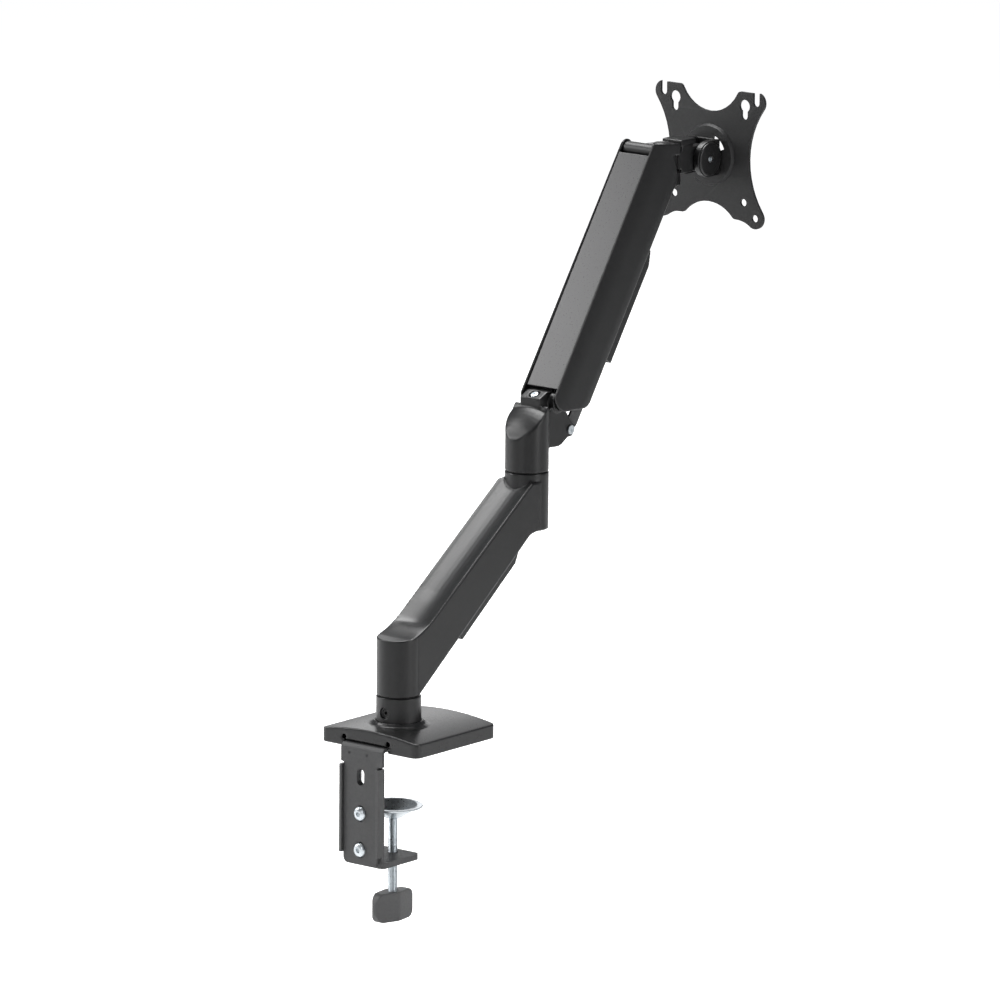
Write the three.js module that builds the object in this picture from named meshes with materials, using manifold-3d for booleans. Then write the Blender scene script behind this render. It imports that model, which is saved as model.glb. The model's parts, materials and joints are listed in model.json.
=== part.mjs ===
// Gas-spring monitor arm on a desk clamp, as separate working pieces.
// Millimetres, +Z up. The origin is on the post axis at the underside of the base, where it
// meets the desk top. +Y runs over the desk towards the screen, and -Y is the clamp side.
import * as THREE from 'three';
import { mergeVertices } from 'three/addons/utils/BufferGeometryUtils.js';
import Module from 'manifold-3d';

const wasm = await Module();
wasm.setup();

// ---------------------------------------------------------------- driving dimensions
const fit = 0.3;            // clearance between pieces that touch or slide
const rad = THREE.MathUtils.degToRad;

const base = { wide: 104, deep: 104.5, back: -39, edge: 12.2, arch: 4.8, wall: 2.5, corner: 6 };
const pad = { thick: 1.5, inset: 4 };
const plate = { thick: 3, z: 1.6 };
const clamp = { x: -4.3, face: -44, left: 21.3, right: 23.4, shoulderLow: -12, low: -97,
  flange: 2.6, proud: 2.5, jawHalf: 20.9 };
const bolt = { shank: 3, head: 5.4, headHigh: 3, pitch: 31, firstZ: -22.5, slotWide: 7.6, slotHigh: 14 };
const jaw = { thick: 3, ledge: 5, reach: 8, half: 21 };
const rod = { x: -3.2, y: -2.7, radius: 4, cupTop: -53, cupRadius: 25, cupDeep: 11, cupWall: 1.6,
  spigot: 2.6 };
const knob = { long: 45, high: 25, top: -127, middle: 8.5, tip: 4, turn: 5 };

const post = { radius: 11, top: 82 };
const collar = { radius: 19.1, top: 41, screwZ: 28, screwRadius: 3 };
const bush = { wall: 1 };
const reach = 167;
const lower = { half: 18.6, reach, foot: 91, bottom: 41.8, elbow: 205.2, bossLow: 156,
  topStart: [22, 103.6], topEnd: [reach - 17, 197.2], beamTop: 198.5, underStart: [5.5, 42.5],
  underEnd: [reach - 17, 154.5] };
const lowerCover = { start: 70, long: 100, half: 14, deep: 9, wall: 1.8 };

const knuckle = { radius: 18.5, low: 205.9, dome: 236, top: 261, neck: 10.5, cheek: 15, spigotLow: 166 };
const lift = { y: reach + 23, z: 262, angle: 56.4, length: 235.2, boss: 8.5, pin: 3.5 };
const link = { dy: 16.2, dz: -25.8, inner: 9.6, outer: 11.8, end: 5.2, up: 3, down: 9.4, tie: 2, pin: 3 };
const arm = { inner: 17, outer: 20, top: 11, under: -34.7, ear: 8.6, hoodTop: 12.4,
  webTop: 6.6, webThick: 2.3 };
const topCover = { start: 8, end: lift.length - 7.2, top: 9.3, thick: 2.2 };
const upperCover = { start: 70.5, long: lift.length - 131.2, half: 15.5, deep: 17.7, wall: 1.8, end: 12.4 };
const screw = { lean: 25, radius: 3, topY: reach + 9, topZ: 269.6, anchor: 32, head: 4.4 };
const spring = { s: lift.length - 38.5, t: -6.7, tube: 9, tubeLong: lift.length - 113.2,
  rod: 4, eye: 8.5, hole: 6.1, pin: 2.7 };

const slope = (lift.angle * Math.PI) / 180;
const tipY = lift.y + lift.length * Math.cos(slope);
const tipZ = lift.z + lift.length * Math.sin(slope);
const panY = tipY + 25.842;
const tip = { eye: 7, panY, upperLug: 13, lowerLug: 16.4, top: tipZ + 2.597, upperLow: tipZ - 4.903,
  lowerTop: tipZ - 20.703, bottom: tipZ - 31.903, half: 14, back: tipY + 2.842, pin: 5 };
const yoke = { barrel: 14, half: 9.5, tongue: 8.2, tongueRadius: 12, neckEnd: panY + 32,
  low: tipZ - 23.903, top: tipZ + 1.097, cap: tipZ + 5.097, capFrom: panY + 14, capTo: panY + 34 };
const tilt = { y: panY + 48, z: tipZ - 14.903, radius: 15.5, half: 14.5, back: panY + 62.6, bolt: 4 };
const vesa = { back: panY + 68.7, thick: 2.4, emboss: 27, embossStep: 2.4, half: 58.2, lobe: 9.2, hole: 3.3,
  large: 50, small: 37.5, keyUp: 8.6, keyRadius: 5.5,
  slotIn: 13.4, slotOut: 19, slotTurn: 0.42 };

// ---------------------------------------------------------------- materials
const finish = (color, roughness, metalness = 0) =>
  new THREE.MeshStandardMaterial({ color, roughness, metalness });
const blackSteel = () => finish(0x141416, 0.4, 0.6);
const blackPaint = () => finish(0x232427, 0.5, 0.2);
const steelPaint = () => finish(0x3c3c3e, 0.55, 0.3);
const blackPlastic = () => finish(0x2b2c2e, 0.6);
const zinc = () => finish(0xc4ccd0, 0.28, 1);
const nylon = () => finish(0xd9d7cf, 0.5);
const rubber = () => finish(0x1b1b1c, 0.9);

// ---------------------------------------------------------------- shape helpers
// A closed three.js geometry becomes a solid that can be joined and cut.
function solid(geometry) {
  const bare = geometry.clone();
  bare.deleteAttribute('normal');
  bare.deleteAttribute('uv');
  const merged = mergeVertices(bare, 1e-4);
  return new wasm.Manifold(new wasm.Mesh({
    numProp: 3,
    vertProperties: new Float32Array(merged.attributes.position.array),
    triVerts: new Uint32Array(merged.index.array),
  }));
}

const join = (...solids) => solids.reduce((whole, next) => whole.add(next));
const cut = (body, ...tools) => tools.reduce((left, tool) => left.subtract(tool), body);

function shapeOf(points) {
  return new THREE.Shape(points.map(([a, b]) => new THREE.Vector2(a, b)));
}

// Outlines are drawn in the named plane and extruded along the third axis.
function extrude(shape, depth, curveSegments = 8) {
  return new THREE.ExtrudeGeometry(shape, { depth, bevelEnabled: false, curveSegments });
}

function alongX(shape, x0, x1, curveSegments) {
  const geometry = extrude(shape, x1 - x0, curveSegments);
  geometry.applyMatrix4(new THREE.Matrix4().makeBasis(
    new THREE.Vector3(0, 1, 0), new THREE.Vector3(0, 0, 1), new THREE.Vector3(1, 0, 0)));
  return solid(geometry.translate(x0, 0, 0));
}

function alongY(shape, y0, y1, curveSegments) {
  const geometry = extrude(shape, y1 - y0, curveSegments);
  return solid(geometry.rotateX(Math.PI / 2).translate(0, y1, 0));
}

function alongZ(shape, z0, z1, curveSegments) {
  return solid(extrude(shape, z1 - z0, curveSegments).translate(0, 0, z0));
}

function box(x0, x1, y0, y1, z0, z1) {
  const geometry = new THREE.BoxGeometry(x1 - x0, y1 - y0, z1 - z0);
  return solid(geometry.translate((x0 + x1) / 2, (y0 + y1) / 2, (z0 + z1) / 2));
}

function rodX(y, z, radius, x0, x1, sides = 16) {
  const geometry = new THREE.CylinderGeometry(radius, radius, x1 - x0, sides).rotateZ(-Math.PI / 2);
  return solid(geometry.translate((x0 + x1) / 2, y, z));
}

function rodY(x, z, radius, y0, y1, sides = 16) {
  const geometry = new THREE.CylinderGeometry(radius, radius, y1 - y0, sides);
  return solid(geometry.translate(x, (y0 + y1) / 2, z));
}

function rodZ(x, y, radius, z0, z1, sides = 16) {
  const geometry = new THREE.CylinderGeometry(radius, radius, z1 - z0, sides).rotateX(Math.PI / 2);
  return solid(geometry.translate(x, y, (z0 + z1) / 2));
}

// A turned piece about Z: profile points are [radius, z] and close on the axis or on themselves.
function turned(profile, sides = 20) {
  const points = profile.map(([r, z]) => new THREE.Vector2(r, z));
  return solid(new THREE.LatheGeometry(points, sides).rotateX(Math.PI / 2));
}

function ring(inner, outer, z0, z1, sides = 20) {
  return turned([[inner, z0], [outer, z0], [outer, z1], [inner, z1], [inner, z0]], sides);
}

// A slot with round ends, upright in its plane.
function slotShape(x, z, wide, high) {
  const r = wide / 2;
  const straight = high / 2 - r;
  const shape = new THREE.Shape();
  shape.absarc(x, z + straight, r, 0, Math.PI, false);
  shape.absarc(x, z - straight, r, Math.PI, 2 * Math.PI, false);
  shape.closePath();
  return shape;
}

function roundedRect(x0, x1, y0, y1, r) {
  const shape = new THREE.Shape();
  shape.absarc(x1 - r, y0 + r, r, -Math.PI / 2, 0, false);
  shape.absarc(x1 - r, y1 - r, r, 0, Math.PI / 2, false);
  shape.absarc(x0 + r, y1 - r, r, Math.PI / 2, Math.PI, false);
  shape.absarc(x0 + r, y0 + r, r, Math.PI, Math.PI * 1.5, false);
  shape.closePath();
  return shape;
}

const assembly = new THREE.Group();

function addPiece(group, name, body, material) {
  const { vertProperties, triVerts } = body.getMesh();
  const geometry = new THREE.BufferGeometry();
  geometry.setAttribute('position', new THREE.BufferAttribute(vertProperties, 3));
  geometry.setIndex(new THREE.BufferAttribute(triVerts, 1));
  geometry.computeVertexNormals();
  const mesh = new THREE.Mesh(geometry, material);
  mesh.name = name;
  group.add(mesh);
  return mesh;
}

// ---------------------------------------------------------------- base on the desk
const baseX = base.wide / 2;
const baseFront = base.back + base.deep;
const plateTop = plate.z + plate.thick;
const clampLeft = clamp.x - clamp.left;
const clampRight = clamp.x + clamp.right;
const jawLeft = clamp.x - clamp.jawHalf;
const jawRight = clamp.x + clamp.jawHalf;
const archRadius = (baseX ** 2 + base.arch ** 2) / (2 * base.arch);

function archedBlock(half, y0, y1, edge, z0) {
  const shape = new THREE.Shape();
  const rise = archRadius - Math.sqrt(archRadius ** 2 - half ** 2);
  const crown = edge + base.arch - archRadius;
  const spread = Math.asin(half / archRadius);
  shape.moveTo(-half, z0);
  shape.lineTo(half, z0);
  shape.lineTo(half, edge + base.arch - rise);
  shape.absarc(0, crown, archRadius, Math.PI / 2 - spread, Math.PI / 2 + spread, false);
  shape.closePath();
  return alongY(shape, y0, y1, 12);
}

// A moulded cover, arched across its width, with a collar apron and a mouth for the steel tongue.
function baseCover() {
  const outline = alongZ(roundedRect(-baseX, baseX, base.back, baseFront, base.corner), 0.2, 30, 6);
  const outer = archedBlock(baseX + 1, base.back - 1, baseFront + 1, base.edge, 0.2).intersect(outline);
  const apronLow = base.edge + base.arch - 2.5;
  const apron = turned([[0, apronLow], [26, apronLow], [26, apronLow + 1.6], [22, apronLow + 3.4],
    [20.6, apronLow + 5.6], [0, apronLow + 5.6]], 24);
  const w = base.wall;
  const hollow = archedBlock(baseX - w, base.back + w, baseFront - w, base.edge - w, -1);
  const mouth = box(clampLeft - 1.2, clampRight + 1.2, base.back - 1, base.back + w + 1, -1, 5.8);
  const corners = [clampLeft - 1.2, clampRight + 1.2].map(
    (x) => rodY(x, plateTop + 3.4, 2.2, base.back - 1, base.back + w + 1, 12));
  return cut(outer.add(apron), hollow, mouth, ...corners, rodZ(0, 0, collar.radius + fit, -1, 40, 24));
}

// Folded steel: the flat carries the post and the tongue folds down behind the desk edge.
function basePlate() {
  const y = clamp.face;
  const t = plate.thick;
  const bend = 4.5;
  const fold = new THREE.Shape();
  fold.moveTo(base.back + 12, plate.z);
  fold.lineTo(base.back + 12, plateTop);
  fold.lineTo(y + bend, plateTop);
  fold.absarc(y + bend, plateTop - bend, bend, Math.PI / 2, Math.PI, false);
  fold.lineTo(y, clamp.low);
  fold.lineTo(y + t, clamp.low);
  fold.lineTo(y + t, plateTop - bend);
  fold.absarc(y + bend, plateTop - bend, bend - t, Math.PI, Math.PI / 2, true);
  fold.closePath();
  const left = jawLeft + clamp.flange + fit;
  const right = jawRight - clamp.flange - fit;
  const r = 5;
  const front = new THREE.Shape();
  front.moveTo(clampLeft, 20);
  front.lineTo(clampLeft, clamp.shoulderLow + 1);
  front.lineTo(left, clamp.shoulderLow);
  front.absarc(left + r, clamp.low + r, r, Math.PI, Math.PI * 1.5, false);
  front.absarc(right - r, clamp.low + r, r, -Math.PI / 2, 0, false);
  front.lineTo(right, clamp.shoulderLow);
  front.lineTo(clampRight, clamp.shoulderLow + 1);
  front.lineTo(clampRight, 20);
  front.closePath();
  const tongue = alongX(fold, clampLeft - 1, clampRight + 1, 5)
    .intersect(alongY(front, y - 1, base.back + 13, 5));
  const slots = [0, 1, 2].map((i) => alongY(
    slotShape(clamp.x, bolt.firstZ - i * bolt.pitch, bolt.slotWide, bolt.slotHigh),
    y - 1, y + t + 1, 8));
  const inset = base.wall + 1;
  const flat = alongZ(roundedRect(-baseX + inset, baseX - inset, base.back + inset, baseFront - inset, 5),
    plate.z, plateTop, 4);
  const screws = postScrewPlaces().map(([x, sy]) => rodZ(x, sy, postScrew.shank + fit, -1, 10, 12));
  return cut(flat.add(tongue), ...slots, ...screws, rodZ(0, 0, 4, -1, 10, 12));
}

// Four screws come up through the flat into the foot of the post.
const postScrew = { circle: 7, shank: 1.6, head: 2.9, headHigh: 1.2, high: 12 };
function postScrewPlaces() {
  return [0, 1, 2, 3].map((i) => {
    const a = rad(45 + 90 * i);
    return [postScrew.circle * Math.cos(a), postScrew.circle * Math.sin(a)];
  });
}

function deskPad() {
  const inset = base.wall + pad.inset;
  const sheet = alongZ(roundedRect(-baseX + inset, baseX - inset, base.back + inset, baseFront - inset, 5),
    0, pad.thick, 4);
  return cut(sheet, ...postScrewPlaces().map(([x, y]) => rodZ(x, y, postScrew.head + fit, -1, 5, 12)));
}

function postSpindle() {
  const holes = postScrewPlaces().map(([x, y]) =>
    rodZ(x, y, postScrew.shank + 0.1, 0, postScrew.high + 2, 12));
  const body = turned([[0, plateTop + 0.1], [post.radius, plateTop + 0.1],
    [post.radius, post.top - 1.5], [post.radius - 1.5, post.top], [0, post.top]]);
  return cut(body, ...holes);
}

function postScrewPiece(x, y) {
  const low = plate.z - 0.1;
  return join(rodZ(x, y, postScrew.head, low - postScrew.headHigh, low, 12),
    rodZ(x, y, postScrew.shank, low - 0.2, postScrew.high, 12));
}

// A loose sleeve round the post; its screw presses on the post to set the swivel friction.
function postCollar() {
  const low = plateTop + 0.1;
  const bore = post.radius + fit;
  const sleeve = turned([[bore, low], [collar.radius, low], [collar.radius - 0.25, collar.top - 0.6],
    [collar.radius - 0.9, collar.top], [bore, collar.top], [bore, low]], 28);
  const screwHole = rodY(0, collar.screwZ, collar.screwRadius + 0.2, -collar.radius - 1, 0, 12);
  const sink = rodY(0, collar.screwZ, 5, -collar.radius - 1, -collar.radius + 2.2, 14);
  return cut(sleeve, screwHole, sink);
}

function collarScrew() {
  const y0 = -collar.radius + 2.6;
  const y1 = -post.radius - fit;
  const socket = rodY(0, collar.screwZ, 1.7, y0 - 1, y0 + 2.5, 6);
  return cut(rodY(0, collar.screwZ, collar.screwRadius, y0, y1, 12), socket);
}

addPiece(assembly, 'base_cover', baseCover(), blackPlastic());
addPiece(assembly, 'base_plate', basePlate(), steelPaint());
addPiece(assembly, 'desk_pad', deskPad(), rubber());
addPiece(assembly, 'post_spindle', postSpindle(), zinc());
postScrewPlaces().forEach(([x, y], i) => {
  addPiece(assembly, `post_screw_${i + 1}`, postScrewPiece(x, y), zinc());
});
addPiece(assembly, 'post_collar', postCollar(), blackPaint());
addPiece(assembly, 'collar_screw', collarScrew(), blackSteel());

// ---------------------------------------------------------------- clamp jaw under the desk
const webFront = clamp.face + plate.thick + fit;
const webBack = webFront + jaw.thick;
const ledgeTop = clamp.low - 1.5 + jaw.ledge;

function jawBracket() {
  const low = clamp.low - 1.5;
  const web = alongY(roundedRect(jawLeft, jawRight, low, clamp.shoulderLow, 5), webFront, webBack, 5);
  const flangeLow = clamp.low + 8.5;
  const wings = [[jawLeft, jawLeft + clamp.flange], [jawRight - clamp.flange, jawRight]].map(
    ([x0, x1]) => box(x0, x1, clamp.face - clamp.proud, webBack, flangeLow, clamp.shoulderLow - 1.3));
  const ledge = alongZ(roundedRect(rod.x - jaw.half, rod.x + jaw.half, webFront, jaw.reach, 5),
    low, ledgeTop, 5);
  const openings = [0, 1, 2].map((i) => {
    const z = bolt.firstZ - i * bolt.pitch;
    return i === 0
      ? alongY(slotShape(clamp.x, z, bolt.slotWide, bolt.slotHigh), webFront - 1, webBack + 1, 8)
      : rodY(clamp.x, z, bolt.shank + fit, webFront - 1, webBack + 1, 14);
  });
  const rodHole = rodZ(rod.x, rod.y, rod.radius + fit, low - 1, ledgeTop + 1, 16);
  return cut(join(web, ...wings, ledge), ...openings, rodHole);
}

function jawBolt(z) {
  const y = clamp.face - 0.1;
  const head = turned([[0, 0], [bolt.head, 0], [bolt.head * 0.93, bolt.headHigh * 0.5],
    [bolt.head * 0.62, bolt.headHigh], [0, bolt.headHigh]], 16).rotate([90, 0, 0]).translate([clamp.x, y, z]);
  const socket = rodY(clamp.x, z, 2.2, y - 5, y - 1.2, 6);
  return cut(join(head, rodY(clamp.x, z, bolt.shank, y - 0.2, webBack + 5, 14)), socket);
}

function jawNut(z) {
  return cut(rodY(clamp.x, z, 5.8, webBack + 0.1, webBack + 4.6, 6),
    rodY(clamp.x, z, bolt.shank + 0.15, webBack - 1, webBack + 6, 14));
}

addPiece(assembly, 'jaw_bracket', jawBracket(), steelPaint());
['upper', 'lower'].forEach((place, i) => {
  const z = bolt.firstZ - (i + 1) * bolt.pitch;
  addPiece(assembly, `jaw_bolt_${place}`, jawBolt(z), zinc());
  addPiece(assembly, `jaw_nut_${place}`, jawNut(z), zinc());
});

// ---------------------------------------------------------------- clamp screw
const screwGroup = new THREE.Group();
screwGroup.position.set(rod.x, rod.y, 0);
assembly.add(screwGroup);
const cupFloor = rod.cupTop - rod.cupDeep;

// A pressed cup: flat rim, cone and a small floor with a hole for the end of the screw.
function clampCup() {
  const w = rod.cupWall;
  return turned([[rod.spigot + fit, cupFloor], [7, cupFloor], [rod.cupRadius - 4, rod.cupTop - w],
    [rod.cupRadius, rod.cupTop - w], [rod.cupRadius, rod.cupTop], [rod.cupRadius - 4.6, rod.cupTop],
    [6.4, cupFloor + w], [rod.spigot + fit, cupFloor + w], [rod.spigot + fit, cupFloor]], 24);
}

function clampRod() {
  const seat = cupFloor - fit;
  const headLow = cupFloor + rod.cupWall + fit;
  const end = knob.top - knob.high + 6;
  return turned([[0, end], [rod.radius, end], [rod.radius, seat], [rod.spigot, seat], [rod.spigot, headLow],
    [4.6, headLow], [4, headLow + 1.4], [0, headLow + 1.8]], 16);
}

// A hand knob: thick at the middle, tapering to two round wing tips.
function clampKnob() {
  const end = knob.long / 2 - knob.tip;
  const lean = Math.asin((knob.middle - knob.tip) / end);
  const plan = new THREE.Shape();
  plan.absarc(end, 0, knob.tip, -Math.PI / 2 + lean, Math.PI / 2 - lean, false);
  plan.absarc(0, 0, knob.middle, Math.PI / 2 - lean, Math.PI / 2 + lean, false);
  plan.absarc(-end, 0, knob.tip, Math.PI / 2 + lean, Math.PI * 1.5 - lean, false);
  plan.absarc(0, 0, knob.middle, -Math.PI / 2 - lean, -Math.PI / 2 + lean, false);
  plan.closePath();
  const low = knob.top - knob.high;
  const side = roundedRect(-knob.long / 2 - 1, knob.long / 2 + 1, low, knob.top, 8);
  const body = alongZ(plan, low, knob.top, 8).intersect(alongY(side, -20, 20, 6));
  return cut(body, rodZ(0, 0, rod.radius + 0.1, low + 5.9, knob.top + 1, 16));
}

addPiece(screwGroup, 'clamp_cup', clampCup(), zinc());
addPiece(screwGroup, 'clamp_rod', clampRod(), zinc());
addPiece(screwGroup, 'clamp_knob', clampKnob(), blackPlastic()).rotation.z = rad(90 - knob.turn);

// ---------------------------------------------------------------- lower arm
const boreRadius = post.radius + fit + bush.wall + fit;
const footBore = post.top + 2;

function lowerArmProfile() {
  const [ty, tz] = lower.topEnd;
  const [uy, uz] = lower.underEnd;
  const far = lower.reach + lower.half;
  const shape = new THREE.Shape();
  shape.moveTo(-lower.half, lower.bottom);
  shape.lineTo(lower.underStart[0] - 1, lower.bottom);
  shape.lineTo(...lower.underStart);
  shape.lineTo(uy, uz);
  shape.quadraticCurveTo(uy + 6, lower.bossLow + 0.6, uy + 13, lower.bossLow);
  shape.lineTo(far, lower.bossLow);
  shape.lineTo(far, lower.beamTop);
  shape.lineTo(ty + 1.8, lower.beamTop);
  shape.lineTo(ty, tz);
  shape.lineTo(...lower.topStart);
  shape.quadraticCurveTo(6, 93, -6, lower.foot);
  shape.lineTo(-lower.half, lower.foot - 1);
  shape.closePath();
  return shape;
}

// One casting: round foot, sloping beam with a hollowed top face, and a round boss at the elbow.
function lowerArm() {
  const h = lower.half;
  const plan = new THREE.Shape();
  plan.absarc(0, 0, h, Math.PI, Math.PI * 2, false);
  plan.absarc(lower.reach, 0, h, -Math.PI / 2, Math.PI / 2, false);
  const outline = new THREE.Shape();
  outline.absarc(0, 0, h, Math.PI, Math.PI * 2, false);
  outline.absarc(0, lower.reach, h, 0, Math.PI, false);
  outline.closePath();
  const body = alongX(lowerArmProfile(), -h - 1, h + 1, 6).intersect(
    alongZ(outline, lower.bottom - 1, lower.elbow + 1, 14));
  const [sy, sz] = lower.topStart;
  const [ey, ez] = lower.topEnd;
  const slope = Math.atan2(ez - sz, ey - sy);
  const hollow = 46;
  const long = Math.hypot(ez - sz, ey - sy) + 16;
  const lift0 = Math.sqrt(hollow ** 2 - (h - 1.2) ** 2);
  const scoop = solid(new THREE.CylinderGeometry(hollow, hollow, long, 60)
    .rotateX(slope).translate(0, 0, 0));
  const middle = [(sy + ey) / 2 - lift0 * Math.sin(slope), (sz + ez) / 2 + lift0 * Math.cos(slope)];
  const boss = rodZ(0, lower.reach, h, lower.bossLow + 8, lower.elbow, 28);
  return cut(join(cut(body, scoop.translate([0, middle[0], middle[1]])), boss),
    rodZ(0, 0, boreRadius, lower.bottom - 1, footBore, 22),
    rodZ(0, lower.reach, boreRadius, lower.bossLow + 7, lower.elbow + 1, 22),
    rodZ(0, lower.reach, 5.5, lower.bossLow - 1, lower.bossLow + 8, 14),
    rodZ(0, lower.reach, 9.5, lower.bossLow - 1, lower.bossLow + 4, 16));
}

const lowerBody = lowerArm();
addPiece(assembly, 'lower_arm', lowerBody, blackPaint());
const bushInner = post.radius + fit;
const bushOuter = bushInner + bush.wall;
addPiece(assembly, 'base_bush', ring(bushInner, bushOuter, lower.bottom + 0.2, post.top - 1), nylon());
const baseWasher = ring(bushInner, collar.radius - 1.6, collar.top + 0.1, lower.bottom - 0.2);
addPiece(assembly, 'base_washer', baseWasher, nylon());

const elbowGroup = new THREE.Group();
elbowGroup.position.set(0, lower.reach, 0);
assembly.add(elbowGroup);
const elbowBush = ring(bushInner, bushOuter, lower.bossLow + 7.3, lower.elbow - 0.2);
addPiece(elbowGroup, 'elbow_bush', elbowBush, nylon());
const elbowWasher = ring(bushInner, knuckle.radius - 1.2, lower.elbow + 0.1, knuckle.low - 0.1);
addPiece(elbowGroup, 'elbow_washer', elbowWasher, nylon());

// Clip-on trough for cables under a beam, open along the beam and at its lower end.
function cableTrough(half, top, deep, long, wall, endLow) {
  const ramp = 12;
  const outside = shapeOf([[0, top], [0, -deep], [long - ramp, -deep], [long, -endLow], [long, top]]);
  const outer = alongX(outside, -half, half);
  const inner = alongX(shapeOf([[-1, top + 1], [-1, wall - deep], [long - ramp - wall, wall - deep],
    [long - wall * 2, wall - endLow], [long - wall * 2, top + 1]]), wall - half, half - wall);
  return cut(outer, inner);
}

const underRise = lower.underEnd[1] - lower.underStart[1];
const underSlope = Math.atan2(underRise, lower.underEnd[0] - lower.underStart[0]);
const lowerCoverGroup = new THREE.Group();
lowerCoverGroup.position.set(0, lower.underStart[0] + lowerCover.start * Math.cos(underSlope),
  lower.underStart[1] + lowerCover.start * Math.sin(underSlope));
lowerCoverGroup.rotation.x = underSlope;
assembly.add(lowerCoverGroup);
addPiece(lowerCoverGroup, 'lower_cable_cover',
  cableTrough(lowerCover.half, -fit, lowerCover.deep, lowerCover.long, lowerCover.wall, 2.6), blackPlastic());

// ---------------------------------------------------------------- elbow knuckle
const linkY = lift.y + link.dy;
const linkZ = lift.z + link.dz;
const lean = rad(screw.lean);
const screwDown = [Math.sin(lean), -Math.cos(lean)];
const anchorY = screw.topY + screwDown[0] * screw.anchor;
const anchorZ = screw.topZ + screwDown[1] * screw.anchor;

// Cylinder with a slanting domed top, a neck for the tension screw and two cheeks for the pivots.
function elbowKnuckle() {
  const r = knuckle.radius;
  const y0 = lower.reach;
  const side = new THREE.Shape();
  side.moveTo(y0 - r - 1, knuckle.low);
  side.lineTo(y0 + r + 1, knuckle.low);
  side.lineTo(y0 + r + 1, knuckle.top - 12);
  side.lineTo(y0 + 6, knuckle.top);
  side.quadraticCurveTo(y0 - 8, knuckle.top - 8, y0 - r + 1.5, knuckle.dome);
  side.lineTo(y0 - r - 1, knuckle.dome - 3);
  side.closePath();
  const drum = alongX(side, -r - 1, r + 1, 8).intersect(rodZ(0, y0, r, knuckle.low - 1, knuckle.top + 1, 32));
  const neckFront = y0 + 3.3;
  const neck = alongX(shapeOf([[neckFront, knuckle.top - 14], [lift.y + 2, knuckle.top - 14],
    [lift.y + 2, lift.z + lift.boss - 0.4], [screw.topY + 4.6, screw.topZ + 2.1],
    [neckFront, screw.topZ - 2.7]]),
  -knuckle.neck, knuckle.neck);
  const cheekLow = knuckle.low + 18;
  const cheek = alongX(shapeOf([[y0 + 8, cheekLow + 1], [y0 + 24, cheekLow], [y0 + 28.5, cheekLow + 1.4],
    [linkY - 3, linkZ - 6.2], [linkY + 3, linkZ - 5.8], [linkY + 6.4, linkZ - 2], [linkY + 6.4, linkZ + 3],
    [linkY + 2, linkZ + 6.6], [lift.y + 8, lift.z - 6], [lift.y - 6, lift.z - 2], [y0 + 8, lift.z - 8]]),
  -knuckle.cheek, knuckle.cheek);
  const boss = rodX(lift.y, lift.z, lift.boss, -arm.inner + 0.4, arm.inner - 0.4, 22);
  const spigot = turned([[0, knuckle.spigotLow], [post.radius, knuckle.spigotLow],
    [post.radius, knuckle.low + 2], [0, knuckle.low + 2]]).translate([0, y0, 0]);

  const clevisRoom = rodX(anchorY, anchorZ, 16.6, -8.7, 8.7, 24);
  const linkRoom = rodX(linkY, linkZ, link.end + 3.6, -link.outer - fit, link.outer + fit, 20);
  const linkWay = box(-link.outer - fit, link.outer + fit, linkY - 2, linkY + 20, linkZ - 12, linkZ + 14);
  const upper = rad(lift.angle + 10);
  const rodRoom = spring.rod + 1.2;
  const sweepLong = 44;
  const sideY = anchorY - rodRoom * Math.sin(upper);
  const sideZ = anchorZ + rodRoom * Math.cos(upper);
  const sweep = alongX(shapeOf([[sideY, sideZ],
    [sideY + sweepLong * Math.cos(upper), sideZ + sweepLong * Math.sin(upper)],
    [anchorY + sweepLong, anchorZ + sweepLong], [anchorY + sweepLong, anchorZ - 26],
    [anchorY, anchorZ - 6]]), -rodRoom, rodRoom);
  const screwBore = rodZ(0, 0, screw.radius + fit, -4, 50, 14).rotate([-180 + screw.lean, 0, 0])
    .translate([0, screw.topY, screw.topZ]);
  const headSink = rodZ(0, 0, screw.head + 0.4, -6, 3.4, 16).rotate([-180 + screw.lean, 0, 0])
    .translate([0, screw.topY, screw.topZ]);
  return cut(join(drum, neck, cheek, boss, spigot),
    clevisRoom, linkRoom, linkWay, sweep, screwBore, headSink,
    rodX(lift.y, lift.z, lift.pin + fit, -20, 20, 16),
    rodX(linkY, linkZ, link.pin + 0.2, -20, 20, 14),
    rodZ(0, y0, 3.4, knuckle.spigotLow - 1, knuckle.spigotLow + 16, 12));
}

function elbowScrew() {
  const headLow = lower.bossLow + 0.6;
  const head = rodZ(0, 0, 5, headLow, headLow + 2.6, 16);
  const body = join(head, rodZ(0, 0, 3.2, headLow + 2, knuckle.spigotLow + 14, 12));
  return cut(body, rodZ(0, 0, 2.2, headLow - 1, headLow + 1.8, 6));
}

// The screw hangs in the neck; its trunnion nut climbs along it as it turns.
function tensionScrew() {
  const body = join(rodZ(0, 0, screw.head, -3, 0, 16), rodZ(0, 0, screw.radius, -screw.anchor - 6.5, -1, 14));
  return cut(body, rodZ(0, 0, 2.4, -1.8, 1, 6));
}

function trunnion() {
  const block = rodX(0, 0, 4.8, -4.6, 4.6, 16);
  const pins = rodX(0, 0, spring.pin, -8.2, 8.2, 14);
  return cut(join(block, pins), rodZ(0, 0, screw.radius + 0.15, -6, 6, 14));
}

addPiece(assembly, 'elbow_knuckle', elbowKnuckle(), blackPaint());
addPiece(elbowGroup, 'elbow_screw', elbowScrew(), zinc());
const screwWasher = ring(3.5, 9, lower.bossLow + 3.3, lower.bossLow + 3.9, 16);
addPiece(elbowGroup, 'elbow_screw_washer', screwWasher, zinc());

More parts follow.
